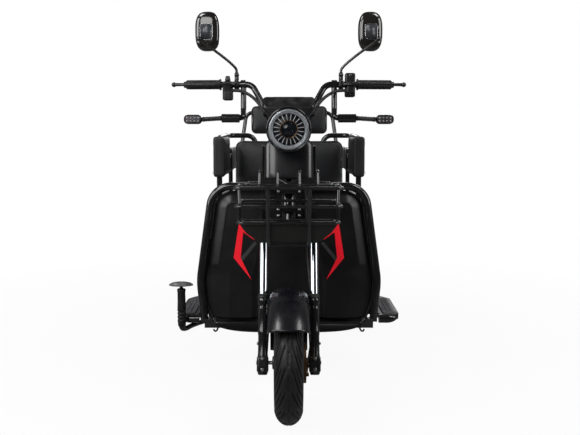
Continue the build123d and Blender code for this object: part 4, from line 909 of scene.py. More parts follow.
def ribbed_mat(name, x_low, x_high, y_low, y_high, grooves, material, cut=0.014):
    """A mat whose surface drops into lengthwise grooves between fine cross ribs; its edge is rounded down.

    Height is 4.2 mm, less a groove where x is near a groove's line, plus 0.5 mm ribs, times an edge ramp."""
    x = np.linspace(x_low, x_high, 130)[None, :]
    y = np.linspace(y_low, y_high, 150)[:, None]
    edge = np.minimum(np.minimum(x - x_low, x_high - x), np.minimum(y - y_low, y_high - y))
    corner_x = np.maximum(cut - np.minimum(x - x_low, x_high - x), 0)
    corner_y = np.maximum(cut - np.minimum(y - y_low, y_high - y), 0)
    edge = np.where((corner_x > 0) & (corner_y > 0), cut - np.hypot(corner_x, corner_y), edge)
    height = 0.0042 * smooth_step(edge, -0.0005, 0.003)
    for line in grooves:
        apart = np.abs(x - (x_low + (x_high - x_low) * line))
        height = height - 0.0022 * (1 - smooth_step(apart, 0.002, 0.004)) * smooth_step(edge, 0.012, 0.02)
    ribs = 0.0005 * np.sin(y * 2 * math.pi / 0.006) * smooth_step(edge, 0.006, 0.01)
    grid = np.stack([x + 0 * y, y + 0 * x, floor_top + 0.0001 + np.maximum(height + ribs, 0)], -1)
    return mesh_piece(name, grid, grid_faces(150, 130), material)


mat_rubber = rubber("mat_rubber", (0.085, 0.083, 0.095), 0.62, 0.0003)
mats = [ribbed_mat(f"footboard_mat_{side}", *sorted((side * (guard_clear + 0.008), side * (board_half - 0.012))),
                   board_front + 0.022, board_rear - 0.058, (0.33, 0.67), mat_rubber) for side in sides]
mats.append(ribbed_mat("middle_mat", -body_half + 0.02, body_half - 0.02, inner_front + 0.016,
                       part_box("seat_base")[0].y - 0.014, (0.12, 0.3, 0.5, 0.7, 0.88), mat_rubber))
place(join("ribbed_mats", mats), "frame", "rubber", "floor_mats")

belly_low, belly_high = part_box("belly_pan")[0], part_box("belly_pan")[1]
belly_bits = [rounded_block("belly_tray", (belly_low.x, belly_low.y + 0.012, belly_low.z),
                            (belly_high.x, belly_high.y, belly_high.z - 0.0002), 0.009, grained_black)]
across = np.linspace(-0.262, 0.262, 61)
drop = 0.0325 * np.clip(1 - (across / 0.262) ** 4, 0, 1) ** 0.6 + 0.003
valance_bottom = np.column_stack([across, 0.2475 - drop])
valance_outline = np.concatenate([valance_bottom, [(0.262, 0.2478), (-0.262, 0.2478)]])
valance_y = belly_low.y - 0.0015


def upright(points):
    """Points given as (across, height, forward of the valance's plane), put upright."""
    return np.stack([points[:, 0], valance_y - points[:, 2] + 0 * points[:, 1], points[:, 1]], -1)


belly_bits.append(plate("front_valance", valance_outline, 0.0, 0.004, satin_black, upright, 0.0012))
belly_bits.append(carried("valance_roll", np.column_stack([across, np.full(61, valance_y - 0.002),
                                                           np.full(61, 0.2462)]), 0.0042, lip_gloss, 14))
for side in sides:
    hook = rounded_path([(side * 0.252, valance_y + 0.004, 0.243), (side * 0.252, valance_y + 0.002, 0.222),
                         (side * 0.262, valance_y + 0.002, 0.213), (side * 0.268, valance_y + 0.002, 0.222)])
    belly_bits.append(carried(f"strap_hook_{side}", hook, 0.004, gloss_paint, 12, 0.8))
place(join("belly_cover", belly_bits), "frame", "matte_black", "belly_pan")


# ---- Brake pedal: a ribbed rubber sleeve on a bent arm, and a mushroom pad with a pimpled top.
# The arm comes out from under the footboard, and turns on a boss below the floor.
pedal_low, pedal_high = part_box("brake_pedal")[0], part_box("brake_pedal")[1]
pedal_x = pedal_low.x + 0.0432
pedal_y = board_front - 0.024
pad_top = pedal_high.z
speckled_rubber = coated("speckled_rubber", (0.07, 0.068, 0.07), 0.6, 0.25, 0.9, grain=0.0008, cells=330,
                         dust_color=(0.34, 0.33, 0.33), shift=0.5)


def pedal_pad(material):
    """The pad as rings about its stem: a dome on an ellipse 86 by 52 mm, with a rolled rim and rows of pimples."""
    turn = np.linspace(0, 2 * math.pi, 96, endpoint=False)[:, None]
    ring = np.array([0, 0.15, 0.3, 0.45, 0.6, 0.72, 0.84, 0.93, 0.985, 1.0, 0.985, 0.93, 0.5, 0.16, 0.15, 0])
    level = np.array([0, -0.0001, -0.0006, -0.0014, -0.0026, -0.0038, -0.0056, -0.0078, -0.0098, -0.0112, -0.0125,
                      -0.013, -0.0128, -0.013, -0.015, -0.015])
    ring, level = ring[None, :], level[None, :] + 0 * turn
    x, y = 0.0428 * ring * np.cos(turn), 0.0258 * ring * np.sin(turn)
    pimple = 0.0006 * np.cos(x * 2 * math.pi / 0.007) * np.cos(y * 2 * math.pi / 0.007) * (ring < 0.9) * (level > -0.009)
    grid = np.stack([pedal_x + x, pedal_y - 0.003 + y, pad_top - 0.0008 + level + pimple], -1)
    return outward(mesh_piece("pedal_pad", grid, grid_faces(96, 16, close_rows=True), material))


sleeve = [(0, 0), (0, 0.0135)]
for number in range(3):
    start = 0.022 + 0.0125 * number
    sleeve += [(start, 0.0152), (start + 0.0022, 0.0134), (start + 0.0056, 0.0134), (start + 0.0078, 0.0152)]
sleeve += [(0.0650, 0.0148), (0.0900, 0.0140), (0.1180, 0.0138), (0.1240, 0.0142), (0.1260, 0.0150), (0.1310, 0.0149),
           (0.1330, 0.0138), (0.1335, 0.0070), (0.1380, 0.0065), (0.1385, 0)]
arm_path = rounded_path([(-body_half + 0.010, board_front + 0.113, 0.224), (pedal_x + 0.030, board_front + 0.035, 0.224),
                         (pedal_x + 0.012, pedal_y + 0.016, 0.2215), (pedal_x, pedal_y, 0.2265), (pedal_x, pedal_y, 0.25)], 4)
pedal_bits = [pedal_pad(speckled_rubber),
              turned("pedal_sleeve", sleeve, (pedal_x, pedal_y, 0.237), (0, 0, 1), tyre_rubber, 40),
              turned("pedal_stem", [(0, 0), (0, 0.0055), (0.06, 0.0055), (0.06, 0)], (pedal_x, pedal_y, 0.318), (0, 0, 1),
                     gloss_paint, 20),
              carried("pedal_arm", arm_path, np.interp(np.linspace(0, 1, len(arm_path)), (0, 0.6, 1), (0.0085, 0.009, 0.0135)),
                      gloss_paint, 24, 1.0, (0, 0, 1)),
              turned("pedal_boss", [(0, 0), (0, 0.0105), (0.002, 0.012), (0.0275, 0.012), (0.0275, 0)],
                     (-body_half + 0.012, board_front + 0.109, 0.220), (0, 0, 1), cast_black, 28)]
place(join("brake_pedal_assembly", pedal_bits), "frame", "frame_paint", "brake_pedal")


# ---- Headlamp: a black bowl and bezel, a milky reflector ring, twenty light bars and a dark projector behind glass.
# All of it turns about a line that points straight ahead from the bowl's centre.
gloss_black = coated("gloss_black_plastic", (0.005, 0.005, 0.006), 0.14, 0.06, 0.04, coat=0.5, peel=0.00003)
bowl_low, bowl_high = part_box("headlamp_housing")
lamp = np.array((0, bowl_low.y, (bowl_low.z + bowl_high.z) / 2))
bowl_radius = bowl_high.x
bowl_length = bowl_high.y - bowl_low.y
ahead = (0, -1, 0)


def lamp_shader(name, color, rough, glow=0.0, metallic=0.0, ticks=0.0):
    """A lamp's inner surface; ticks are fine radial ribs round the axis, drawn from the angle about it."""
    material, tree, output = new_shader(name)
    shader = tree.nodes.new("ShaderNodeBsdfPrincipled")
    shader.inputs["Metallic"].default_value = metallic
    where = tree.nodes.new("ShaderNodeTexCoord").outputs["Object"]
    tree.links.new(use_effect(tree, "marks", where, Base=rough, Spread=0.02), shader.inputs["Roughness"])
    tint = tree.nodes.new("ShaderNodeMix")
    tint.data_type = "RGBA"
    tint.inputs["A"].default_value = (*[c * 0.72 for c in color], 1)
    tint.inputs["B"].default_value = (*color, 1)
    tree.links.new(tint.outputs["Result"], shader.inputs["Base Color"])
    if ticks:
        split = tree.nodes.new("ShaderNodeSeparateXYZ")
        tree.links.new(where, split.inputs[0])
        height = tree.nodes.new("ShaderNodeMath")
        height.operation = "SUBTRACT"
        height.inputs[1].default_value = lamp[2]
        tree.links.new(split.outputs["Z"], height.inputs[0])
        angle = tree.nodes.new("ShaderNodeMath")
        angle.operation = "ARCTAN2"
        tree.links.new(split.outputs["X"], angle.inputs[0])
        tree.links.new(height.outputs[0], angle.inputs[1])
        wave = tree.nodes.new("ShaderNodeMath")
        wave.operation = "SINE"
        tree.links.new(product(tree, angle.outputs[0], ticks), wave.inputs[0])
        # Painted shade: the colour follows the ribs' bump height, full on the rib tops and 0.72 of it in the grooves
        # between them.
        rib_height_and_groove_shade = span(tree, wave.outputs[0], -0.2, 0.8)
        tree.links.new(rib_height_and_groove_shade, tint.inputs["Factor"])
        bump = tree.nodes.new("ShaderNodeBump")
        bump.inputs["Distance"].default_value = 0.0006
        tree.links.new(rib_height_and_groove_shade, bump.inputs["Height"])
        tree.links.new(bump.outputs[0], shader.inputs["Normal"])
    else:
        tree.links.new(span(tree, noise(tree, where, 60), 0.3, 0.7), tint.inputs["Factor"])
    if glow:
        shader.inputs["Emission Color"].default_value = (*color, 1)
        shader.inputs["Emission Strength"].default_value = glow
    tree.links.new(shader.outputs[0], output.inputs[0])
    return material


def clear_cover(name, tint, share):
    """Thin clear plastic: mostly see-through face on, more mirror-like at a slant."""
    material, tree, output = new_shader(name)
    shader = tree.nodes.new("ShaderNodeBsdfPrincipled")
    shader.inputs["Base Color"].default_value = (*tint, 1)
    where = tree.nodes.new("ShaderNodeTexCoord").outputs["Object"]
    tree.links.new(use_effect(tree, "marks", where, Base=0.04, Spread=0.03), shader.inputs["Roughness"])
    slant = tree.nodes.new("ShaderNodeLayerWeight")
    slant.inputs["Blend"].default_value = 0.35
    tree.links.new(span(tree, slant.outputs["Fresnel"], 0.0, 1.0, share, 0.85), shader.inputs["Alpha"])
    tree.links.new(shader.outputs[0], output.inputs[0])
    return material


reflector = lamp_shader("reflector_ribbed", (0.86, 0.91, 0.96), 0.26, metallic=0.55, ticks=72)
reflector_plain = lamp_shader("reflector_plain", (0.42, 0.47, 0.52), 0.3, metallic=0.6)
lamp_black = lamp_shader("lamp_black", (0.006, 0.006, 0.007), 0.4)
light_bar = lamp_shader("light_bar", (0.85, 0.87, 0.92), 0.3, glow=0.35)
lens_dark = lamp_shader("projector_glass", (0.012, 0.016, 0.022), 0.06)
bronze = coated("bronze_ring", (0.30, 0.20, 0.12), 0.28, 0.1, 0.05, metallic=0.9, shift=0.15)
lamp_glass = clear_cover("lamp_glass", (0.08, 0.09, 0.10), 0.02)
housing = turned("headlamp_bowl", [
    (-bowl_length, 0), (-bowl_length, bowl_radius - 0.030), (-bowl_length + 0.006, bowl_radius - 0.016),
    (-bowl_length + 0.016, bowl_radius - 0.006), (-bowl_length + 0.030, bowl_radius - 0.0015),
    (-0.014, bowl_radius - 0.001), (-0.010, bowl_radius - 0.001), (-0.009, bowl_radius - 0.0022), (-0.0075, bowl_radius - 0.0022),
    (-0.0065, bowl_radius), (-0.0015, bowl_radius), (0.0015, bowl_radius - 0.002), (0.002, bowl_radius - 0.0042),
    (0.001, bowl_radius - 0.0062), (-0.004, bowl_radius - 0.0075), (-0.022, bowl_radius - 0.0078), (-0.023, 0)],
    lamp, ahead, gloss_black, 96)
place(housing, "steering", "gloss_black", "headlamp_housing")
ring_outer = bowl_radius - 0.0078
optics = [
    turned("reflector_ring", [(-0.004, ring_outer), (-0.001, ring_outer - 0.001), (0.0004, ring_outer - 0.005),
                              (-0.001, ring_outer - 0.0095), (-0.0055, ring_outer - 0.0135), (-0.0065, ring_outer - 0.0142),
                              (-0.012, ring_outer - 0.0142), (-0.012, ring_outer)], lamp, ahead, reflector, 144),
    turned("bar_floor", [(-0.021, 0), (-0.0140, 0.0265), (-0.0135, 0.0515), (-0.022, 0.0515), (-0.022, 0)], lamp, ahead,
           lamp_black, 96),
    turned("inner_ring", [(-0.0145, 0.0262), (-0.0060, 0.0262), (-0.0050, 0.0272), (-0.0050, 0.0285), (-0.0065, 0.0298),
                          (-0.0145, 0.0298)], lamp, ahead, bronze, 96),
    turned("projector", [(-0.016, 0), (-0.016, 0.0262), (-0.0085, 0.0262), (-0.0072, 0.0225), (-0.0040, 0.0160),
                         (-0.0022, 0.0085), (-0.0016, 0)], lamp, ahead, lens_dark, 72)]


def across_lamp(points):
    """Points given as (across, up, ahead of the bezel), put in the lamp's place."""
    return lamp + np.stack([points[:, 0], -points[:, 2], points[:, 1]], -1)


for number in range(20):
    turn = 2 * math.pi * (number + 0.5) / 20
    radial, tangent = np.array((math.cos(turn), math.sin(turn))), np.array((-math.sin(turn), math.cos(turn)))
    bar = [radial * r + tangent * w for r, w in ((0.030, -0.0005), (0.0495, -0.0008), (0.0495, 0.0008), (0.030, 0.0005))]
    optics.append(plate(f"light_bar_{number}", bar, -0.0142, -0.0085, light_bar, across_lamp, 0.0003))
    for edge in (-1, 1):
        rib = [radial * r + tangent * w for r, w in ((0.0505, edge * 0.0030), (0.0540, edge * 0.0034),
                                                     (0.0540, edge * 0.0044), (0.0505, edge * 0.0040))]
        optics.append(plate(f"ring_tooth_{number}_{edge}", rib, -0.013, -0.0072, reflector_plain, across_lamp, 0))
cover_profile = [(-0.0045, ring_outer + 0.0002), (-0.0005, ring_outer - 0.0006), (0.0014, ring_outer - 0.004),
                 (0.0019, ring_outer - 0.012), (0.002, 0.03), (0.002, 0), ]
optics.append(turned("lamp_cover", cover_profile, lamp, ahead, lamp_glass, 96))
place(join("headlamp_optics", optics), "steering", "lens_clear", "headlamp_lens")


# ---- Dash: a visor over the headlamp, a smooth shell round the stem and, on the rider's side, a dark display.
# The visor's plate leans back, and its sides draw in towards the lamp.
dash_low, dash_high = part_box("dash_shroud")
visor_satin = coated("visor_satin", (0.006, 0.006, 0.007), 0.34, 0.08, 0.2, grain=0.00005, cells=1500)


def visor_form(points):
    """Draws the sides in below the top by 28 mm at most, and leans the front back over its upper third."""
    points = points.copy()
    drop = (dash_high.z - points[:, 2]) / (dash_high.z - dash_low.z)
    points[:, 0] *= 1 - 0.34 * smooth_step(drop, 0.22, 0.62)
    front = smooth_step((dash_low.y + 0.04 - points[:, 1]) / 0.04, 0, 1)
    points[:, 1] += front * 0.030 * (1 - smooth_step(drop, 0.0, 0.26))
    rear = smooth_step((points[:, 1] - (dash_high.y - 0.06)) / 0.06, 0, 1)
    points[:, 2] -= rear * 0.055 * (1 - smooth_step(drop, 0.0, 0.5))
    return points


shell = rounded_block("dash_shell", (dash_low.x, dash_low.y, dash_low.z), (dash_high.x, dash_high.y, dash_high.z), 0.013,
                      visor_satin, 5)
cut = shell.modifiers.new("fine", "SUBSURF")
cut.subdivision_type = "SIMPLE"
cut.levels = cut.render_levels = 3
bpy.context.view_layer.update()
fine = bpy.data.meshes.new_from_object(shell.evaluated_get(bpy.context.evaluated_depsgraph_get()))
shell.modifiers.clear()
shell.data = fine
spots = np.zeros(len(fine.vertices) * 3)
fine.vertices.foreach_get("co", spots)
fine.vertices.foreach_set("co", visor_form(spots.reshape(-1, 3)).ravel())
fine.polygons.foreach_set("use_smooth", np.ones(len(fine.polygons), bool))
screen_slope = math.atan2(0.055, 0.06)
screen_middle = np.array((0, dash_high.y - 0.036, dash_high.z - 0.0185))


def on_screen(points):
    """Points given as (across, up the slope, above it), laid on the display's slope."""
    up = np.array((0, -math.cos(0.62), math.sin(0.62)))
    off = np.array((0, math.sin(0.62), math.cos(0.62)))
    return screen_middle + points @ np.array([(1, 0, 0), up, off])


display_glass = coated("display_glass", (0.004, 0.005, 0.006), 0.06, 0.03, 0.02, coat=0.6)
display_line = coated("display_print", (0.45, 0.47, 0.48), 0.4, 0.05, 0.0)
screen_outline = rounded_corners([(-0.056, -0.026), (0.056, -0.026), (0.056, 0.026), (-0.056, 0.026)], 0.012)
screen_bits = [plate("display_bezel", screen_outline * 1.08, 0.0, 0.0035, gloss_black, on_screen, 0.001),
               plate("display_pane", screen_outline, 0.0034, 0.0040, display_glass, on_screen, 0.0002)]
for number in range(11):
    turn = math.radians(200 - 22 * number)
    tick = [(0.020 * math.cos(turn + s) * r, 0.020 * math.sin(turn + s) * r - 0.006) for s, r in
            ((-0.03, 0.86), (0.03, 0.86), (0.03, 1.0), (-0.03, 1.0))]
    screen_bits.append(plate(f"dial_tick_{number}", tick, 0.0040, 0.0042, display_line, on_screen, 0))
place(join("dash_display", [shell] + screen_bits), "steering", "matte_black", "dash_shroud")


# ---- Column cover: a bowed gloss black front with rounded shoulders, and a thin metal trim down each side.
# Its front bows out across, and the sides turn back in a tight curve.
cover_low, cover_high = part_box("column_cover")
cover_half = cover_high.x
gloss_cover = coated("cover_gloss_black", (0.0045, 0.0047, 0.006), 0.30, 0.05, 0.03, coat=0.35, peel=0.00002)
silver_trim = coated("bright_trim", (0.42, 0.42, 0.43), 0.24, 0.08, 0.05, metallic=1.0, shift=0.1)


def cover_front(level):
    """Y of the front at a level from 0 to 1: it leans back by 24 mm towards the top."""
    return cover_low.y + 0.0005 + 0.024 * level ** 1.15


def cover_points():
    """Rows up the cover, columns round it: a front that falls back by the sixth power of x, straight sides and a back.

    The half width shrinks to the shoulders as a quarter ellipse and closes at the top."""
    level = np.concatenate([np.linspace(0, 0.82, 26), 0.82 + 0.18 * np.sin(np.linspace(0.06, math.pi / 2, 16))])[:, None]
    shoulder = np.sqrt(np.clip(1 - (np.maximum(level - 0.82, 0) / 0.18) ** 2, 0, 1))
    half = (cover_half - 0.0005) * (0.72 + 0.28 * shoulder) * (1 - 0.04 * level)
    half = np.where(level > 0.999, 0.0, half)
    front = cover_front(level)
    deep = (cover_high.y - 0.0005 - front) * np.where(level > 0.999, 0.02, 1.0)
    arc_x = np.sin(np.linspace(-1, 1, 81) * math.pi / 2)
    arc_y = 0.02 * np.abs(arc_x) ** 2 + 0.16 * np.abs(arc_x) ** 6
    side_y = np.linspace(arc_y[0], 1, 9)[1:]
    x = np.concatenate([arc_x, np.full(8, 1.0), np.linspace(1, -1, 12)[1:-1], np.full(8, -1.0)])
    y = np.concatenate([arc_y, side_y, np.full(10, 1.0), side_y[::-1]])
    grid = np.stack([half * x, front + deep * y, cover_low.z + (cover_high.z - cover_low.z) * level + 0 * x], -1)
    return np.concatenate([np.broadcast_to(grid[:1].mean(1, keepdims=True), grid[:1].shape), grid], 0)


points = cover_points()
cover = outward(mesh_piece("column_front", points, grid_faces(*points.shape[:2], close_columns=True), gloss_cover))
cover_bits = [cover]
for side in sides:
    x = side * (cover_half - 0.0005)
    steps = np.linspace(0.03, 0.86, 24)
    reach = (cover_half - 0.0012) * (1 - 0.04 * steps)
    line = np.stack([side * reach, cover_front(steps) + 0.39 * (cover_high.y - cover_front(steps)),
                     cover_low.z + (cover_high.z - cover_low.z) * steps], -1)
    # The left trim takes the bronze finish and the right one the silver. The two trims are one mirrored part, so the
    # bronze is a painted warm reflection on the left edge.
    cover_bits.append(carried(f"cover_trim_{side}", line, 0.0019, bronze if side < 0 else silver_trim, 12, 1.0, (0, 1, 0)))
    wing = rounded_block(f"cover_wing_{side}", (min(x, x + side * 0.0105), cover_low.y + 0.058, cover_low.z + 0.002),
                         (max(x, x + side * 0.0105), cover_high.y - 0.004, cover_high.z - 0.022), 0.005, satin_black)
    cover_bits.append(wing)
place(join("column_cover_shell", cover_bits), "steering", "gloss_black", "column_cover")


# ---- Grips and switch boxes: soft sleeves with a chamfered end and fine rings, moulded two-part boxes with buttons.
# Everything here sits on the handlebar's nearly straight outer run.
def on_bar(x, back=0.0, up=0.0):
    """A point on the handlebar at x across, then behind it and over it."""
    slope = (0.2677 - 0.2497) / (0.372 - 0.130)
    return np.array((x, -0.2677 + (abs(x) - 0.130) * slope + back, 1.085 + up))


grip_rubber = rubber("grip_rubber", (0.012, 0.012, 0.012), 0.5, 0.0001)
switch_plastic = coated("switch_plastic", (0.011, 0.011, 0.012), 0.36, 0.08, 0.15, grain=0.00006, cells=1600)
button_red = coated("button_red", (0.45, 0.012, 0.01), 0.32, 0.06, 0.05)
button_grey = coated("button_grey", (0.16, 0.165, 0.17), 0.4, 0.06, 0.08)
button_yellow = coated("button_yellow", (0.5, 0.3, 0.02), 0.36, 0.06, 0.05)
print_white = coated("print_white", (0.6, 0.6, 0.58), 0.5, 0.05, 0.0)
grip_low, grip_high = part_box("grips")
grip_end = grip_high.x
grip_flange, grip_radius, flange_radius = grip_end - 0.125, 0.0165, 0.020
parts = []
for side in sides:
    foot = on_bar(side * grip_flange)
    run = on_bar(side * grip_end) - foot
    length = np.linalg.norm(run)
    profile = [(0, 0.0112), (0, flange_radius - 0.001), (0.001, flange_radius), (0.004, flange_radius),
               (0.005, flange_radius - 0.001), (0.0055, grip_radius - 0.0006)]
    for number in range(26):
        start = 0.008 + number * 0.0040
        depth = 0.0009 if 3 < number < 23 else 0.0004
        profile += [(start, grip_radius - 0.0001), (start + 0.0028, grip_radius - 0.0001),
                    (start + 0.0031, grip_radius - depth), (start + 0.0038, grip_radius - depth)]
    profile += [(length - 0.006, grip_radius - 0.0001), (length - 0.0045, grip_radius),
                (length - 0.0015, grip_radius - 0.0022), (length, grip_radius - 0.0042), (length, 0.0112)]
    parts.append(turned(f"grip_{side}", profile, foot, run, grip_rubber, 40))
    parts.append(turned(f"bar_end_{side}", [(length - 0.002, 0), (length - 0.002, 0.0109), (length + 0.0006, 0.0106),
                                            (length + 0.0012, 0.0085), (length + 0.0004, 0)], foot, run, zinc, 32))
place(join("grip_pair", parts), "steering", "rubber", "grips")
boxes = []
for side, half, low_up, high_up in ((-1, 0.018, -0.055, 0.011), (1, 0.018, -0.044, 0.040)):
    middle = on_bar(side * 0.216)
    for part, back in (("front", (-0.0178, -0.0006)), ("rear", (0.0006, 0.0178))):
        low = middle + (-half, back[0], low_up)
        high = middle + (half, back[1], high_up)
        boxes.append(rounded_block(f"switch_{part}_{side}", low, high, 0.0065, switch_plastic))
    boxes += [piece for up in (low_up + 0.010, high_up - 0.009)
              for piece in bolt(f"switch_screw_{side}_{up}", middle + (0, -0.0178, up), ahead, zinc, 0.004, 0.002)]
    rear_face = middle + (0, 0.0175, 0)
    if side < 0:
        boxes.append(rounded_block("throttle_block", middle + (-0.012, -0.0339, -0.057), middle + (0.016, -0.0175, -0.023),
                                   0.005, switch_plastic))
        boxes.append(turned("mode_peg", [(0.0085, 0), (0.0085, 0.0098), (0.020, 0.0098), (0.0215, 0.0085),
                                         (0.0275, 0.0082), (0.0298, 0.0068), (0.0300, 0)], middle, (0, 0, 1),
                            switch_plastic, 40))
        rows = ((0.000, -0.012, button_red, 0.0062), (0.000, -0.036, button_grey, 0.0055))
    else:
        boxes.append(rounded_block("horn_block", middle + (-0.013, -0.0409, -0.032), middle + (0.013, -0.0175, 0.008),
                                   0.005, switch_plastic))
        rows = ((0.000, 0.024, button_grey, 0.0060), (-0.004, 0.004, button_yellow, 0.0048), (0.003, -0.024, button_red, 0.0058))
    for across, up, tint, size in rows:
        boxes.append(turned(f"button_{side}_{up}", [(-0.002, 0), (-0.002, size + 0.0016), (0.0008, size + 0.0016),
                                                    (0.0012, size + 0.0008), (0.0008, size), (0.0028, size - 0.0004),
                                                    (0.0034, size - 0.0016), (0.0036, 0)],
                            rear_face + (across, 0, up), (0, 1, 0), tint, 28))
place(join("switch_pair", boxes), "steering", "matte_black", "switch_boxes")


# ---- Brake levers and mirrors: cast clamps and blades with ball ends; black stems, shells with an inset panel, glass.
# The mirror shells face the rider, and the panel shows from the front.
lever_black = coated("lever_black", (0.010, 0.010, 0.011), 0.26, 0.08, 0.10, coat=0.3)
mirror_black = coated("mirror_black", (0.012, 0.011, 0.010), 0.12, 0.05, 0.05, coat=0.7)
mirror_panel = coated("mirror_panel_grey", (0.045, 0.05, 0.055), 0.34, 0.06, 0.06, metallic=0.3)
parts, stems, shells, panes = [], [], [], []
stem_y = on_bar(0.184)[1]
mirror_y = stem_y + 0.026
for side in sides:
    root = on_bar(side * 0.184, -0.006)
    knee = on_bar(side * 0.190, -0.046, -0.002)
    tip = np.array((side * 0.398, -0.2998, 1.082))
    bow = (knee * 0.55 + tip * 0.45) + (0, -0.006, 0)
    path = rounded_path([root, knee, bow, tip])
    share = np.linspace(0, 1, len(path))
    thick = 0.0062 - 0.0014 * np.sin(np.pi * share) + 0 * share
    parts.append(carried(f"lever_blade_{side}", path, thick, lever_black, 20, 1.0))
    end = (tip - bow) / np.linalg.norm(tip - bow)
    parts.append(turned(f"lever_ball_{side}", [(0.0084 - 0.0085 * math.cos(t), 0.0085 * math.sin(t)) for t in
                                               np.linspace(0.0, math.pi, 18)], tip - end * 0.006, end, lever_black, 28))
    ring = on_bar(side * 0.1762)
    ring_axis = on_bar(side * 0.1918) - ring
    parts.append(turned(f"lever_clamp_{side}", [(0, 0.0112), (0, 0.0158), (0.0012, 0.0169), (0.0144, 0.0169),
                                                (0.0156, 0.0158), (0.0156, 0.0112)], ring, ring_axis, lever_black, 40))
    parts.append(rounded_block(f"lever_perch_{side}", on_bar(side * 0.184, -0.030, -0.011) - (0.0075, 0, 0),
                               on_bar(side * 0.184, -0.010, 0.011) + (0.0075, 0, 0), 0.004, lever_black))
    parts += bolt(f"lever_pivot_{side}", on_bar(side * 0.186, -0.026, 0.0105), (0, 0, 1), zinc, 0.007, 0.004)
    parts += bolt(f"clamp_screw_{side}", on_bar(side * 0.184, 0.0160, 0.006), (0, 1, 0), zinc, 0.005, 0.003)
    boss = on_bar(side * 0.184, 0.0037)
    boss[1] = stem_y + 0.0002
    parts.append(turned(f"mirror_boss_{side}", [(0, 0), (0, 0.0079), (0.026, 0.0079), (0.0279, 0.0068), (0.0279, 0)],
                        boss, (0, 0, 1), lever_black, 32))
    foot = np.array((side * 0.184, stem_y, 1.1134))
    stems.append(turned(f"stem_nut_{side}", [(0, 0), (0, 0.0084), (0.0085, 0.0084), (0.0095, 0.0076), (0.0136, 0.0068),
                                             (0.0139, 0.0050), (0.0139, 0)], foot, (0, 0, 1), mirror_black, 6))
    line = rounded_path([foot + (0, 0, 0.008), foot + (side * 0.001, 0, 0.034), (side * 0.314, mirror_y - 0.042, 1.241),
                         (side * 0.314, mirror_y - 0.040, 1.2418)], 4)
    stems.append(carried(f"stem_rod_{side}", line, 0.0049, mirror_black, 20))
    joint_foot = (side * 0.314, mirror_y - 0.0458, 1.242)
    stems.append(turned(f"stem_ball_{side}", [(0, 0), (0.0005, 0.0050), (0.003, 0.0078), (0.007, 0.0089), (0.013, 0.0089),
                                              (0.0155, 0.0076), (0.022, 0.0072), (0.0229, 0.006), (0.0229, 0)],
                        joint_foot, (0, 1, 0), mirror_black, 32))
    normal = np.array((-side * 0.12, 1, -0.04))
    normal = normal / np.linalg.norm(normal)
    level = np.array((1, 0, 0)) - normal * normal[0]
    level = level / np.linalg.norm(level)
    upward = np.cross(level, normal) * (1 if np.cross(level, normal)[2] > 0 else -1)
    middle = np.array((side * 0.290, mirror_y - 0.023, 1.272))
    axes = np.array((level, upward, normal))
    turn = np.linspace(0, 2 * math.pi, 96, endpoint=False)

    def oval(half_x, half_y, power=2 / 2.9):
        """A superellipse of power 2.9 round the mirror's middle."""
        return np.stack([half_x * np.sign(np.cos(turn)) * np.abs(np.cos(turn)) ** power,
                         half_y * np.sign(np.sin(turn)) * np.abs(np.sin(turn)) ** power], -1)

    def seated(points):
        """Points given as (across, up, toward the rider) from the shell's back, put in the mirror's place."""
        return middle + points @ axes

    skin = [(0.0, 0.0, 0.0), (0.2, 0.22, 0.0001), (0.4, 0.44, 0.0006), (0.6, 0.66, 0.0017), (0.72, 0.78, 0.0029),
            (0.82, 0.87, 0.0047), (0.90, 0.93, 0.0070), (0.965, 0.975, 0.0112),
            (0.993, 0.995, 0.0170), (0.998, 0.998, 0.0235), (0.985, 0.99, 0.0257), (0.955, 0.972, 0.0259),
            (0.935, 0.958, 0.0245), (0.930, 0.955, 0.0221), (0.0, 0.0, 0.0221)]
    rings = np.concatenate([np.column_stack([oval(0.0439 * a, 0.0689 * b), np.full(len(turn), c)]) for a, b, c in skin])
    shells.append(outward(mesh_piece(f"mirror_shell_{side}", seated(rings), grid_faces(len(skin), len(turn),
                                                                                     close_columns=True), mirror_black)))
    outline = rounded_corners([(-0.021, -0.030), (0.021, -0.030), (0.022, 0.023), (-0.022, 0.023)], 0.011, 8)
    shells.append(plate(f"mirror_inset_{side}", outline, -0.0007, 0.0006, mirror_panel, seated, 0.0004))
    edge = np.concatenate([outline * 1.03, outline[:2] * 1.03])
    edge = seated(np.column_stack([edge, np.full(len(edge), -0.0003)]))
    shells.append(carried(f"mirror_bead_{side}", edge, 0.0008, silver_trim, 8, 1.0, normal))
    glass = [(0.0, 0.0, 0.0222), (0.925, 0.952, 0.0222), (0.928, 0.953, 0.0236), (0.915, 0.945, 0.0243), (0.0, 0.0, 0.0247)]
    rings = np.concatenate([np.column_stack([oval(0.0434 * a, 0.0684 * b), np.full(len(turn), c)]) for a, b, c in glass])
    panes.append(outward(mesh_piece(f"mirror_pane_{side}", seated(rings),
                                    grid_faces(len(glass), len(turn), close_columns=True), chrome)))
place(join("lever_pair", parts), "steering", "gloss_black", "brake_levers")
place(join("mirror_stem_pair", stems), "steering", "gloss_black", "mirror_stems")
place(join("mirror_shell_pair", shells), "steering", "gloss_black", "mirror_shells")
mirror_face = coated("mirror_silver", (0.72, 0.74, 0.76), 0.03, 0.02, 0.03, metallic=1.0, shift=0.05)
for pane in panes:
    pane.data.materials[0] = mirror_face
place(join("mirror_pane_pair", panes), "steering", "mirror", "mirror_glass")
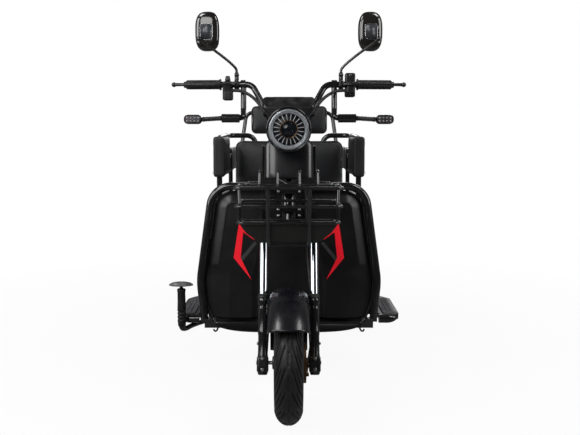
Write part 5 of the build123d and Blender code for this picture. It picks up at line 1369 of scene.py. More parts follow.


# ---- Turn signals: a ribbed rubber stalk, an oval lamp with a clear front and diodes.
# A loose conduit with fine corrugations comes down from each switch box to the stem.
sleeve_satin = coated("sleeve_satin", (0.022, 0.025, 0.030), 0.3, 0.07, 0.12, coat=0.15)
diode = lamp_shader("diode", (0.55, 0.50, 0.46), 0.3, glow=0.05)
signal_back = lamp_shader("signal_reflector", (0.26, 0.25, 0.28), 0.25, metallic=0.7)
signal_y, signal_z = -0.2677 - 0.044, 0.966
lamp_low, lamp_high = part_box("turn_signals")
stalk_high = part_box("signal_stalks")[1]
stalks, lamps = [], []
for side in sides:
    inner, outer = np.array((side * 0.2348, signal_y, signal_z)), np.array((side * stalk_high.x, signal_y, signal_z - 0.004))
    length = np.linalg.norm(outer - inner)
    profile = [(0, 0), (0, 0.0086), (0.006, 0.0086)]
    for number in range(9):
        start = 0.009 + number * 0.0052
        profile += [(start, 0.0070), (start + 0.0012, 0.0085), (start + 0.0030, 0.0085), (start + 0.0042, 0.0070)]
    profile += [(length - 0.008, 0.0085), (length - 0.002, 0.0086), (length, 0.0080), (length, 0)]
    stalks.append(turned(f"stalk_{side}", profile, inner, outer - inner, seal_rubber, 36))
    near, far = sorted((side * (stalk_high.x + 0.0005), side * lamp_high.x))
    half_z = (lamp_high.z - lamp_low.z) / 2
    shell = rounded_block(f"signal_shell_{side}", (near, lamp_low.y + 0.0075, lamp_low.z), (far, lamp_high.y, lamp_high.z),
                          0.0150, gloss_black, 6)
    front = rounded_block(f"signal_lens_{side}", (near + 0.0018, lamp_low.y + 0.0005, lamp_low.z + 0.0018),
                          (far - 0.0018, lamp_low.y + 0.0210, lamp_high.z - 0.0018), 0.0095, lamp_glass, 6)
    middle = np.array(((near + far) / 2, lamp_low.y + 0.0078, (lamp_low.z + lamp_high.z) / 2))
    rim = np.array([middle + (0.0290 * np.sign(math.cos(t)) * abs(math.cos(t)) ** 0.6, 0,
                              (half_z - 0.0023) * np.sign(math.sin(t)) * abs(math.sin(t)) ** 0.6) for t in
                    np.linspace(0, 2 * math.pi, 72)])
    lamps += [shell, front, carried(f"signal_rim_{side}", rim, 0.0014, gloss_black, 10, 1.0, (0, 1, 0))]
    outline = rounded_corners([(-0.025, -half_z + 0.005), (0.025, -half_z + 0.005), (0.025, half_z - 0.005),
                               (-0.025, half_z - 0.005)], 0.008)
    lamps.append(plate(f"signal_mirror_{side}", outline, 0.0, 0.0006, signal_back,
                       lambda p, m=middle: m + np.stack([p[:, 0], -p[:, 2] - 0.0002, p[:, 1]], -1), 0))
    for number in range(8):
        spot = middle + ((number % 4 - 1.5) * 0.0125, -0.0008, (number // 4 - 0.5) * 0.0105)
        lamps.append(turned(f"diode_{side}_{number}", [(0, 0), (0, 0.0030), (0.0008, 0.0028), (0.0020, 0.0018), (0.0024, 0)],
                            spot, ahead, diode, 16))
place(join("stalk_pair", stalks), "steering", "rubber", "signal_stalks")
place(join("signal_pair", lamps), "steering", "lens_clear", "turn_signals")
conduits = []
for side in sides:
    line = np.array([(0.1975, -0.2908, 1.063), (0.160, -0.3008, 1.061), (0.116, -0.3108, 1.033), (0.088, -0.3281, 0.992),
                     (0.066, -0.3101, 0.946), (0.066, -0.3338, 0.946)]) * (side, 1, 1)
    line = rounded_path(line, 4)
    travelled = np.concatenate([[0], np.cumsum(np.linalg.norm(np.diff(line, axis=0), axis=1))])
    even = np.linspace(0, travelled[-1], 260)
    line = np.stack([np.interp(even, travelled, line[:, axis]) for axis in range(3)], -1)
    conduits.append(carried(f"conduit_{side}", line, 0.0056 + 0.0004 * np.sin(even * 2 * math.pi / 0.0034), seal_rubber, 14))
place(join("conduit_pair", conduits), "steering", "rubber", "cable_conduits")


# ---- Front rack: the painted wire carrier with its bolts and welds, and a matt tray that hangs in the lowest loop.
# The wire is the CAD node; bolts hold the two flat bars, and small weld beads sit where the wires cross.
rack_paint = coated("rack_gloss_black", (0.009, 0.009, 0.010), 0.17, 0.07, 0.12, coat=0.5, peel=0.00004)
tray_matt = coated("tray_matt_plastic", (0.0100, 0.0115, 0.0095), 0.58, 0.1, 0.15, grain=0.0002, cells=1100, specular=0.3)
dress(rack_paint, "front_rack")
rack_low, rack_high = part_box("front_rack")
rack_front = axle[1] - 0.060
parts = []
for side in sides:
    for height in (0.746, 0.722, 0.692, 0.662, 0.642):
        parts += bolt(f"rack_bolt_{side}_{height}", (side * 0.035, axle[1] + 0.168 - 0.0095, height), ahead, zinc, 0.0055, 0.003)
    for x, y, z in ((0.063, rack_front + 0.001, 0.750), (0.063, rack_front + 0.0195, 0.692), (0.063, rack_front + 0.0345, 0.640),
                    (0.155, axle[1] + 0.030, 0.640), (0.154, axle[1] + 0.036, 0.692), (0.158, axle[1] + 0.058, 0.750),
                    (0.035, axle[1] + 0.058, 0.749), (0.093, axle[1] + 0.058, 0.749)):
        parts.append(rounded_block(f"weld_{side}_{x}_{z}", (side * x - 0.0062, y - 0.0058, z - 0.0058),
                                   (side * x + 0.0062, y + 0.0058, z + 0.0058), 0.0055, rack_paint, 2))
place(join("rack_fittings", parts), "frame", "gloss_black")
tray_low, tray_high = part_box("rack_tray")
tray_middle = np.array(((tray_low.x + tray_high.x) / 2, (tray_low.y + tray_high.y) / 2, 0))


def tray_ring(half_x, half_y, corner, z):
    """A rounded rectangle of 64 points at the height z, round the tray's middle."""
    turn = np.linspace(0, 2 * math.pi, 64, endpoint=False)
    x = np.sign(np.cos(turn)) * (half_x - corner) + corner * np.cos(turn)
    y = np.sign(np.sin(turn)) * (half_y - corner) + corner * np.sin(turn)
    return np.stack([x, y, np.full(64, z)], -1) + tray_middle


half_x, half_y = (tray_high.x - tray_low.x) / 2, (tray_high.y - tray_low.y) / 2
depth = tray_high.z - tray_low.z
skin = []
for share, inset, wall in ((0.0, 0.060, 0), (0.012, 0.058, 0), (0.10, 0.0545, 0), (0.5, 0.031, 0), (0.90, 0.006, 0), (0.955, 0.0032, 0),
                           (0.965, 0.0004, 0), (0.99, 0.0, 0), (1.0, 0.001, 0), (1.0, 0.0042, 1), (0.96, 0.0062, 1), (0.5, 0.034, 1),
                           (0.10, 0.0575, 1), (0.055, 0.061, 1)):
    bulge = 0.011 * math.sin(math.pi * min(share * 1.02, 1)) if 0.02 < share < 0.94 else 0
    skin.append(tray_ring(half_x - inset + bulge, half_y - min(inset * 0.12, 0.009) - 0.003 * wall, 0.012,
                          tray_low.z + share * depth))
skin = np.array(skin)
poles = [np.broadcast_to(tray_middle + (0, 0, z), (1, 64, 3)) for z in (tray_low.z, tray_low.z + 0.055 * depth)]
skin = np.concatenate([poles[0], skin, poles[1]])
tray = [outward(mesh_piece("tray_bowl", skin, grid_faces(len(skin), 64, close_columns=True), tray_matt))]
for x in (-0.054, -0.018, 0.018, 0.054):
    tray.append(rounded_block(f"tray_rib_{x}", (x - 0.0016, tray_low.y + 0.010, tray_low.z + 0.0025),
                              (x + 0.0016, tray_high.y - 0.010, tray_low.z + 0.0065), 0.0012, tray_matt, 2))
place(join("tray_bowl", tray), "frame", "matte_black", "rack_tray")


# ---- Cushions and pads: each starts as its plain solid drawn in a little, is blown up as cloth with its seams held,
# then gets its channels, piping and stitches. Pads bulge between their seams and draw in between their corners.
leather = coated("grained_leather", (0.0125, 0.013, 0.0145), 0.40, 0.12, 0.12, grain=0.00022, cells=620, shift=0.2, specular=0.5)
leather_side = coated("leather_side_panel", (0.010, 0.010, 0.011), 0.46, 0.12, 0.18, grain=0.0003, cells=520, shift=0.2)
# The piping is black leather like the cushions. Its base colour, about three times the leather's, is a painted sheen
# that adds to the highlight along it.
piping_gloss_and_painted_sheen = coated("piping", (0.035, 0.036, 0.040), 0.16, 0.06, 0.05, coat=0.7)
thread = coated("stitch_thread", (0.085, 0.085, 0.088), 0.6, 0.1, 0.1)


def outline_distance(across, up, half, corner):
    """Distance from a rounded rectangle's outline, below 0 inside: |max(q, 0)| + min(max(q), 0) - corner."""
    over_x, over_y = np.abs(across) - (half[0] - corner), np.abs(up) - (half[1] - corner)
    outside = np.hypot(np.maximum(over_x, 0), np.maximum(over_y, 0))
    return outside + np.minimum(np.maximum(over_x, over_y), 0) - corner


def outline_path(half, corner, inset, count=220):
    """Evenly spaced points on that outline drawn in by inset, closed, as (across, up)."""
    corner, half = max(corner - inset, 0.004), (half[0] - inset, half[1] - inset)
    turn = np.linspace(0, math.pi / 2, 14)
    corners = []
    for number, (sx, sy) in enumerate(((1, 1), (-1, 1), (-1, -1), (1, -1))):
        angle = turn + number * math.pi / 2
        corners.append(np.stack([sx * (half[0] - corner) + corner * np.cos(angle),
                                 sy * (half[1] - corner) + corner * np.sin(angle)], -1))
    line = np.concatenate(corners + [corners[0][:1]])
    travelled = np.concatenate([[0], np.cumsum(np.linalg.norm(np.diff(line, axis=0), axis=1))])
    even = np.linspace(0, travelled[-1], count)
    return np.stack([np.interp(even, travelled, line[:, 0]), np.interp(even, travelled, line[:, 1])], -1)


class Pad:
    """One cushion: its CAD node, its own axes (across, up, out), its sizes and its seams."""

    def __init__(self, name, node, foot, out, half, thick, corner, fillet, channels=(), ring=None, cap=0.012, voxel=0.0055):
        self.name, self.node, self.half, self.thick, self.corner = name, node, half, thick, corner
        self.fillet, self.channels, self.ring, self.cap = fillet, channels, ring, cap
        out = np.asarray(out, float) / np.linalg.norm(out)
        across = np.array((1.0, 0, 0))
        self.axes = np.array((across, np.cross(out, across), out))
        self.foot = np.asarray(foot, float)
        mesh = frame["nodes"][node].data.copy()
        fine = bmesh.new()
        fine.from_mesh(mesh)
        bmesh.ops.remove_doubles(fine, verts=fine.verts, dist=1e-5)
        fine.to_mesh(mesh)
        fine.free()
        self.piece = bpy.data.objects.new(name, mesh)
        bpy.context.collection.objects.link(self.piece)
        voxels = self.piece.modifiers.new("voxels", "REMESH")
        voxels.mode = "VOXEL"
        voxels.voxel_size = voxel
        self.bake()
        self.shape_start()

    def bake(self):
        """Takes the mesh with its modifiers applied, and drops them."""
        bpy.context.view_layer.update()
        mesh = bpy.data.meshes.new_from_object(self.piece.evaluated_get(bpy.context.evaluated_depsgraph_get()))
        self.piece.modifiers.clear()
        self.piece.data = mesh

    def points(self):
        """The mesh's points as (across, up, out)."""
        flat = np.zeros(len(self.piece.data.vertices) * 3)
        self.piece.data.vertices.foreach_get("co", flat)
        return (flat.reshape(-1, 3) - self.foot) @ self.axes.T

    def set_points(self, points):
        """Puts (across, up, out) back, kept inside the CAD form's own space."""
        points = points.copy()
        points[:, 2] = np.clip(points[:, 2], 0.0004, self.thick - 0.0004)
        points[:, 0] = np.clip(points[:, 0], -self.half[0] + 0.0004, self.half[0] - 0.0004)
        points[:, 1] = np.clip(points[:, 1], -self.half[1] + 0.0004, self.half[1] - 0.0004)
        self.piece.data.vertices.foreach_set("co", (self.foot + points @ self.axes).ravel())
        self.piece.data.update()

    def seam(self, points):
        """Distance from the nearest seam on the outer face; far away elsewhere."""
        inside = outline_distance(points[:, 0], points[:, 1], self.half, self.corner)
        nearest = np.full(len(points), 1.0)
        if self.ring:
            nearest = np.abs(inside + self.ring)
        for axis, level in self.channels:
            line = np.abs(points[:, axis] - level)
            nearest = np.minimum(nearest, np.where(inside < -(self.ring or self.fillet), line, 1.0))
        return np.where(points[:, 2] > self.thick * 0.55, nearest, 1.0)

    def shape_start(self):
        """Draws the sides in between the corners by up to 6 mm and the outer face down towards its edges."""
        points = self.points()
        u, v = points[:, 0] / self.half[0], points[:, 1] / self.half[1]
        high = np.clip(points[:, 2] / self.thick, 0, 1)
        points[:, 0] *= 1 - (0.004 + 0.006 * np.clip(1 - v ** 2, 0, 1)) / self.half[0]
        points[:, 1] *= 1 - (0.004 + 0.006 * np.clip(1 - u ** 2, 0, 1)) / self.half[1]
        crown = np.clip(1 - np.abs(u) ** 2.6, 0, 1) * np.clip(1 - np.abs(v) ** 2.6, 0, 1)
        points[:, 2] -= high * (0.006 + 0.009 * (1 - crown))
        self.set_points(points)

    def start_cloth(self):
        """Cloth under pressure with the base, the seams and the lower edge held."""
        points = self.start = self.points()
        inside = outline_distance(points[:, 0], points[:, 1], self.half, self.corner)
        rim = (np.abs(inside + 0.010) < 0.005) & (points[:, 2] > self.thick * 0.55)
        held = (points[:, 2] < 0.008) | (self.seam(points) < 0.0042) | rim
        group = self.piece.vertex_groups.new(name="held")
        group.add(np.flatnonzero(held).tolist(), 1.0, "REPLACE")
        cloth = self.piece.modifiers.new("cloth", "CLOTH")
        cloth.settings.quality = 4
        cloth.settings.mass = 0.3
        cloth.settings.tension_stiffness = cloth.settings.compression_stiffness = 10
        cloth.settings.shear_stiffness = 4
        cloth.settings.bending_stiffness = 0.6
        cloth.settings.use_pressure = True
        cloth.settings.uniform_pressure_force = 4
        cloth.settings.vertex_group_mass = "held"
        cloth.settings.effector_weights.gravity = 0
        cloth.point_cache.frame_start, cloth.point_cache.frame_end = 1, 20

    def end_cloth(self):
        """Applies the cloth, with no point moved further than the cap."""
        self.bake()
        points = self.points()
        moved = points - self.start
        far = np.linalg.norm(moved, axis=1, keepdims=True)
        self.set_points(self.start + moved * np.minimum(1, self.cap / np.maximum(far, 1e-9)))

    def sew(self, material):
        """One subdivision, then sewn seams: a narrow fold, and ripples of 9 mm that die out beside it."""
        fine = self.piece.modifiers.new("fine", "SUBSURF")
        fine.levels = fine.render_levels = 1
        self.bake()
        points = self.points()
        seam = self.seam(points)
        run = (points[:, 0] + points[:, 1]) * 2 * math.pi / 0.019
        points[:, 2] -= 0.0034 * np.exp(-(seam / 0.0030) ** 2) + 0.0010 * np.exp(-(seam / 0.012) ** 2) * (1 + np.sin(run))
        self.set_points(points)
        self.piece.data.materials.clear()
        self.piece.data.materials.append(material)
        self.piece.data.polygons.foreach_set("use_smooth", np.ones(len(self.piece.data.polygons), bool))

    def surface(self, flat):
        """Height of the outer face over points (across, up), from the nearest mesh points around them."""
        points = self.points()
        top = points[points[:, 2] > self.thick * 0.45]
        return np.array([top[np.argmin(np.hypot(*(top[:, :2] - spot).T) - 0.15 * top[:, 2]), 2] for spot in flat])

    def piping(self, inset, radius, material):
        """A welt that runs round the outer face's edge."""
        flat = outline_path(self.half, self.corner, inset)
        level = self.surface(flat)
        level = (np.roll(level[:-1], 1) + level[:-1] + np.roll(level[:-1], -1)) / 3
        line = np.column_stack([flat, np.append(level, level[0]) + radius * 0.2])
        line[:, 2] = np.minimum(line[:, 2], self.thick - radius - 0.0003)
        line = self.foot + line @ self.axes
        return carried(f"{self.name}_piping", np.concatenate([line, line[1:2]]), radius, material, 10, 1.0, self.axes[2])

    def stitches(self, flat, step=0.0095, long=0.0056):
        """A run of thread, one short bar after another, along points (across, up) on the outer face."""
        travelled = np.concatenate([[0], np.cumsum(np.linalg.norm(np.diff(flat, axis=0), axis=1))])
        ends = []
        for start in np.arange(0.002, travelled[-1] - long, step):
            both = np.array([start, start + long])
            ends.append(np.stack([np.interp(both, travelled, flat[:, 0]), np.interp(both, travelled, flat[:, 1])], -1))
        ends = np.array(ends)
        level = self.surface(ends.mean(1))
        corners, faces = [], []
        for (a, b), height in zip(ends, level):
            along = (b - a) / np.linalg.norm(b - a)
            beside = np.array((-along[1], along[0])) * 0.0006
            base = len(corners)
            for spot, lift in ((a, 0.0), (b, 0.0)):
                corners += [(*(spot - beside), height - 0.0006), (*(spot + beside), height - 0.0006),
                            (*(spot + beside * 0.5), height + 0.0007), (*(spot - beside * 0.5), height + 0.0007)]
            faces += [[base, base + 1, base + 2, base + 3], [base + 7, base + 6, base + 5, base + 4]]
            faces += [[base + k, base + 4 + k, base + 4 + (k + 1) % 4, base + (k + 1) % 4] for k in range(4)]
        corners = np.array(corners)
        corners[:, 2] = np.minimum(corners[:, 2], self.thick - 0.0002)
        return outward(mesh_piece(f"{self.name}_stitches", self.foot + corners @ self.axes, faces, thread))


def flat_pad(name, node, fillet, corner, **more):
    """A cushion that lies level: its axes and sizes come from the CAD node's box."""
    low, high = np.array(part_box(node)[0]), np.array(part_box(node)[1])
    foot = np.array(((low[0] + high[0]) / 2, (low[1] + high[1]) / 2, low[2]))
    return Pad(name, node, foot, (0, 0, 1), ((high[0] - low[0]) / 2, (high[1] - low[1]) / 2), high[2] - low[2],
               corner, fillet, **more)


def upright_pad(name, node, lean, fillet, corner, **more):
    """A back cushion whose outer face looks forward and leans back by the angle lean."""
    data = frame["nodes"][node].data
    flat = np.zeros(len(data.vertices) * 3)
    data.vertices.foreach_get("co", flat)
    out = np.array((0, -math.cos(lean), math.sin(lean)))
    up = np.cross(out, (1.0, 0, 0))
    spots = flat.reshape(-1, 3)
    low = np.array([(spots @ axis).min() for axis in ((1, 0, 0), up, out)])
    high = np.array([(spots @ axis).max() for axis in ((1, 0, 0), up, out)])
    middle = (low + high) / 2
    foot = middle[0] * np.array((1.0, 0, 0)) + middle[1] * up + low[2] * out
    return Pad(name, node, foot, out, ((high[0] - low[0]) / 2, (high[1] - low[1]) / 2), high[2] - low[2],
               corner, fillet, **more)


driver_seat = flat_pad("driver_seat_cushion", "driver_seat", 0.022, 0.040, ring=0.046,
                       channels=((0, -0.09), (0, 0.0), (0, 0.09)), cap=0.013)
driver_back = upright_pad("driver_back_cushion", "driver_backrest", math.radians(4.4), 0.020, 0.038, cap=0.012)
rear_seat = flat_pad("rear_seat_cushion", "rear_seat", 0.024, 0.040, ring=0.050,
                     channels=((1, -0.030), (1, 0.030)), cap=0.014)
rear_back = upright_pad("rear_back_cushion", "rear_backrest", 0.0, 0.016, 0.030, cap=0.010, voxel=0.005)
pads = [driver_seat, driver_back, rear_seat, rear_back]
arm_pads = []
for side in sides:
    for word, low, high in (("front", (0.2512, -0.0028, 0.7402), (0.3048, 0.2668, 0.9018)),
                            ("rear", (0.2522, 0.4482, 0.7442), (0.2798, 0.6678, 0.8518))):
        low, high = np.array(low), np.array(high)
        if side < 0:
            low[0], high[0] = -high[0], -low[0]
        block = rounded_block(f"arm_{word}_{side}", low, high, 0.010 if word == "front" else 0.0095, leather, 4)
        fine = block.modifiers.new("fine", "REMESH")
        fine.mode = "VOXEL"
        fine.voxel_size = 0.0055 if word == "front" else 0.0045
        bpy.context.view_layer.update()
        block.data = bpy.data.meshes.new_from_object(block.evaluated_get(bpy.context.evaluated_depsgraph_get()))
        block.modifiers.clear()
        flat = np.zeros(len(block.data.vertices) * 3)
        block.data.vertices.foreach_get("co", flat)
        spots, middle, half = flat.reshape(-1, 3), (low + high) / 2, (high - low) / 2
        rel = (spots - middle) / half
        pull = np.clip(1 - rel[:, 1] ** 2, 0, 1) * np.clip(1 - rel[:, 2] ** 2, 0, 1)
        spots[:, 0] = middle[0] + (spots[:, 0] - middle[0]) * (1 - (0.0045 - 0.0022 * pull) / half[0])
        spots[:, 2] = middle[2] + (spots[:, 2] - middle[2]) * (1 - 0.0035 * np.clip(1 - rel[:, 1] ** 2, 0, 1) / half[2])
        block.data.vertices.foreach_set("co", spots.ravel())
        arm_pads.append((block, low, high, spots.copy()))
for pad in pads:
    pad.start_cloth()
for block, low, high, spots in arm_pads:
    held = (spots[:, 2] < low[2] + 0.012) | (spots[:, 1] < low[1] + 0.004) | (spots[:, 1] > high[1] - 0.004)
    group = block.vertex_groups.new(name="held")
    group.add(np.flatnonzero(held).tolist(), 1.0, "REPLACE")
    cloth = block.modifiers.new("cloth", "CLOTH")
    cloth.settings.quality = 4
    cloth.settings.mass = 0.3
    cloth.settings.tension_stiffness = cloth.settings.compression_stiffness = 10
    cloth.settings.bending_stiffness = 0.6
    cloth.settings.use_pressure = True
    cloth.settings.uniform_pressure_force = 4
    cloth.settings.vertex_group_mass = "held"
    cloth.settings.effector_weights.gravity = 0
    cloth.point_cache.frame_start, cloth.point_cache.frame_end = 1, 20
for number in range(1, 21):
    bpy.context.scene.frame_set(number)
for pad in pads:
    pad.end_cloth()
for block, low, high, spots in arm_pads:
    bpy.context.view_layer.update()
    block.data = bpy.data.meshes.new_from_object(block.evaluated_get(bpy.context.evaluated_depsgraph_get()))
    block.modifiers.clear()
    flat = np.zeros(len(block.data.vertices) * 3)
    block.data.vertices.foreach_get("co", flat)
    moved = flat.reshape(-1, 3) - spots
    far = np.linalg.norm(moved, axis=1, keepdims=True)
    spots = spots + moved * np.minimum(1, 0.004 / np.maximum(far, 1e-9))
    block.data.vertices.foreach_set("co", np.clip(spots, low, high).ravel())
bpy.context.scene.frame_set(1)
for pad in pads:
    pad.sew(leather)
place(join("driver_seat_cushion", [driver_seat.piece, driver_seat.piping(0.008, 0.0026, piping_gloss_and_painted_sheen),
                                   driver_seat.stitches(outline_path((0.225, 0.1435), 0.040, 0.0405))]),
      "seat", "leather", "driver_seat", padded=0.8)
place(join("driver_back_cushion", [driver_back.piece, driver_back.piping(0.0115, 0.0036, piping_gloss_and_painted_sheen),
                                   driver_back.stitches(outline_path(driver_back.half, 0.038, 0.0190))]),
      "frame", "leather", "driver_backrest", padded=0.8)
place(join("rear_seat_cushion", [rear_seat.piece, rear_seat.piping(0.009, 0.0026, piping_gloss_and_painted_sheen),
                                 rear_seat.stitches(outline_path(rear_seat.half, 0.040, 0.0445))]),
      "frame", "leather", "rear_seat", padded=0.8)
place(join("rear_back_cushion", [rear_back.piece, rear_back.piping(0.0070, 0.0024, piping_gloss_and_painted_sheen)]),
      "frame", "leather", "rear_backrest", padded=0.85)
arm_parts = []
for block, low, high, spots in arm_pads:
    block.data.materials.clear()
    block.data.materials.append(leather_side)
    fine = block.modifiers.new("fine", "SUBSURF")
    fine.levels = fine.render_levels = 1
    bpy.context.view_layer.update()
    block.data = bpy.data.meshes.new_from_object(block.evaluated_get(bpy.context.evaluated_depsgraph_get()))
    block.modifiers.clear()
    block.data.polygons.foreach_set("use_smooth", np.ones(len(block.data.polygons), bool))
    arm_parts.append(block)
    level = low[2] + 0.016
    for face in (low[0] + 0.0014, high[0] - 0.0014):
        welt = rounded_path([(face, low[1] + 0.008, level), (face, (low[1] + high[1]) / 2, level - 0.001),
                             (face, high[1] - 0.008, level)], 2)
        arm_parts.append(carried(f"arm_welt_{face}_{low[1]}", welt, 0.0012, piping_gloss_and_painted_sheen, 8))
        for y in np.arange(low[1] + 0.012, high[1] - 0.016, 0.009):
            arm_parts.append(rounded_block(f"arm_stitch_{face}_{y}", (face - 0.0010, y, level + 0.0052),
                                           (face + 0.0010, y + 0.0052, level + 0.0062), 0.0004, thread, 1))
place(join("arm_pad_set", arm_parts), "frame", "leather", "armrest_pads", padded=0.8)


# ---- Rear body: the moulded tub with arch lips, a belt trim, panel joints, filler cap, vents and a tail panel.
# The tub itself is the CAD node; everything here lies on its skin, a few millimetres at most, or just inside it.
body_satin = coated("body_satin_black", (0.0105, 0.0108, 0.0115), 0.26, 0.1, 0.22, coat=0.3, grain=0.00004, cells=1500)
dress(body_satin, "rear_body")
tub_low, tub_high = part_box("rear_body")
wheel_y, wheel_z = rear_axle_left[1], rear_axle_left[2]
well_reach = wheel_z + 0.026
parts = []
for side in sides:
    turn = np.linspace(math.radians(31), math.radians(149), 70)
    arch = np.stack([np.full(70, side * (tub_high.x - 0.0022)), wheel_y + (well_reach + 0.003) * np.cos(turn),
                     wheel_z + (well_reach + 0.003) * np.sin(turn)], -1)
    parts.append(carried(f"arch_lip_{side}", arch, 0.0045, body_satin, 12, 1.0, (1, 0, 0)))
    belt = rounded_path([(side * (tub_high.x - 0.0008), tub_low.y + 0.046, tub_high.z - 0.034),
                         (side * (tub_high.x - 0.0004), tub_low.y + 0.060, tub_high.z - 0.034),
                         (side * (tub_high.x - 0.0004), tub_high.y - 0.060, tub_high.z - 0.034),
                         (side * (tub_high.x - 0.0008), tub_high.y - 0.046, tub_high.z - 0.034)], 2)
    parts.append(carried(f"belt_trim_{side}", belt, 0.0035, silver_trim, 10, 1.0, (1, 0, 0)))
    for y in (tub_low.y + 0.052, tub_high.y - 0.052):
        parts.append(rounded_block(f"panel_joint_{side}_{y}", (min(side * (tub_high.x - 0.0026), side * tub_high.x), y - 0.0011,
                                                              tub_low.z + 0.012),
                                   (max(side * (tub_high.x - 0.0026), side * (tub_high.x + 0.0002)), y + 0.0011,
                                    tub_high.z - 0.044), 0.0006, lamp_black, 1))
        parts += bolt(f"tub_bolt_{side}_{y}", (side * (tub_high.x - 0.0004), y + (0.014 if y < wheel_y else -0.014), 0.345),
                      (side, 0, 0), zinc, 0.009, 0.004)
for number in range(7):
    x = -0.135 + number * 0.045
    parts.append(rounded_block(f"front_vent_{number}", (x - 0.015, tub_low.y - 0.0012, 0.515), (x + 0.015, tub_low.y + 0.0010, 0.521),
                               0.001, lamp_black, 1))
tail = rounded_corners([(-0.230, -0.054), (0.230, -0.054), (0.236, 0.060), (-0.236, 0.060)], 0.020)


def on_tail(points):
    """Points given as (across, up, out), put on the tub's rear wall at lamp height."""
    return np.array((0, tub_high.y, 0.500)) + np.stack([points[:, 0], points[:, 2], points[:, 1]], -1)


parts.append(plate("tail_panel", tail, -0.0006, 0.0030, gloss_black, on_tail, 0.0012))
parts.append(plate("tail_panel_inset", tail * 0.94, 0.0029, 0.0034, grained_black, on_tail, 0))
parts.append(turned("socket_cap", [(0, 0), (0, 0.0270), (0.0035, 0.0262), (0.0048, 0.0235), (0.0052, 0.0), ],
                    (tub_low.x + 0.0006, tub_high.y - 0.105, 0.520), (-1, 0, 0), gloss_black, 40))
parts.append(turned("socket_hinge", [(0, 0), (0, 0.003), (0.018, 0.003), (0.018, 0)],
                    (tub_low.x - 0.0025, tub_high.y - 0.114, 0.547), (0, 1, 0), zinc, 16))
place(join("tub_trim", parts), "frame", "matte_black")


# ---- Tail lamps and number plate: ribbed red, amber and clear lenses in a gloss case, and a blank plate on its holder.
# The plate carries nothing.
tail_red = coated("tail_lens_red", (0.42, 0.006, 0.008), 0.12, 0.05, 0.04, coat=0.5, shift=0.05)
tail_amber = coated("tail_lens_amber", (0.50, 0.16, 0.012), 0.14, 0.05, 0.04, coat=0.5, shift=0.05)
tail_clear = coated("tail_lens_clear", (0.38, 0.38, 0.38), 0.14, 0.05, 0.04, coat=0.5, shift=0.05)
lamp_box_low, lamp_box_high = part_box("tail_lamps")
parts = []
for side in sides:
    low = np.array((0.258, lamp_box_low.y, lamp_box_low.z))
    high = np.array((lamp_box_high.x, lamp_box_high.y - 0.003, lamp_box_high.z))
    if side < 0:
        low[0], high[0] = -high[0], -low[0]
    parts.append(rounded_block(f"tail_case_{side}", low, high, 0.0055, gloss_black, 4))
    bands = ((0.004, 0.044, tail_red), (0.0455, 0.066, tail_amber), (0.0675, 0.088, tail_clear))
    for start, end, tint in bands:
        lens_low = np.array((low[0] + 0.0035, lamp_box_high.y - 0.0095, lamp_box_low.z + start))
        lens_high = np.array((high[0] - 0.0035, lamp_box_high.y - 0.0012, lamp_box_low.z + end))
        parts.append(rounded_block(f"tail_lens_{side}_{start}", lens_low, lens_high, 0.0035, tint, 3))
        for number in range(7):
            x = lens_low[0] + 0.006 + number * (lens_high[0] - lens_low[0] - 0.012) / 6
            parts.append(rounded_block(f"tail_rib_{side}_{start}_{number}",
                                       (x - 0.0012, lamp_box_high.y - 0.0022, lens_low[2] + 0.003),
                                       (x + 0.0012, lamp_box_high.y - 0.0003, lens_high[2] - 0.003), 0.0009, tint, 1))
place(join("tail_lamp_pair", parts), "frame", "lens_red", "tail_lamps")
holder_plastic = coated("holder_plastic", (0.018, 0.018, 0.019), 0.42, 0.1, 0.25, grain=0.0001, cells=1200)
plate_white = coated("blank_plate", (0.60, 0.60, 0.58), 0.42, 0.08, 0.15, shift=0.06)
dress(holder_plastic, "plate_holder")
holder_low, holder_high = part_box("plate_holder")
plate_face = tub_high.y + 0.0003 + 0.006
blank = rounded_corners([(-0.086, -0.046), (0.086, -0.046), (0.086, 0.046), (-0.086, 0.046)], 0.008)
hole = np.linspace(0, 2 * math.pi, 24, endpoint=False)


def on_plate(points):
    """Points given as (across, up, out), put on the holder's face."""
    return np.array((0, plate_face, 0.418)) + np.stack([points[:, 0], points[:, 2], points[:, 1]], -1)


edge = on_plate(np.column_stack([np.concatenate([blank, blank[:2]]) * 0.975, np.full(len(blank) + 2, 0.0013)]))
parts = [plate("number_plate", blank, 0.0001, 0.0013, plate_white, on_plate, 0.0004),
         carried("number_plate_bead", edge, 0.0008, plate_white, 8, 1.0, (0, 1, 0))]
for side in sides:
    parts += bolt(f"plate_screw_{side}", (side * 0.075, plate_face + 0.0012, 0.450), (0, 1, 0), zinc, 0.006, 0.003)
parts.append(rounded_block("plate_lamp_lens", (-0.024, plate_face + 0.004, 0.4738), (0.024, plate_face + 0.0105, 0.4765),
                           0.001, tail_clear, 2))
place(join("number_plate", parts), "frame", "matte_black")


# ---- Rear axle and suspension: a cast beam with the motor and gearbox, coil springs over dampers, trailing links.
# Fins, a gear cover and cover bolts are added on the castings.
axle_cast = coated("axle_casting", (0.028, 0.028, 0.029), 0.5, 0.14, 0.4, grain=0.0002, cells=900, specular=0.4)
motor_cast = coated("motor_aluminium", (0.20, 0.20, 0.205), 0.45, 0.12, 0.35, metallic=0.9, grain=0.00015, cells=1100)
dress(axle_cast, "rear_axle")
axle_middle = np.array((0, wheel_y, wheel_z))
parts = []
for side in sides:
    parts.append(turned(f"motor_cover_{side}", [(0.0745, 0), (0.0745, 0.0700), (0.0770, 0.0690), (0.0775, 0.0500), (0.0800, 0.0470),
                                                (0.0800, 0.0260), (0.0775, 0.0250), (0.0775, 0)], axle_middle, (side, 0, 0),
                        motor_cast, 64))
    parts += ring_of_bolts(f"motor_bolt_{side}", axle_middle + (side * 0.0768, 0, 0), (side, 0, 0), 0.0600, 8, zinc, 0.007)
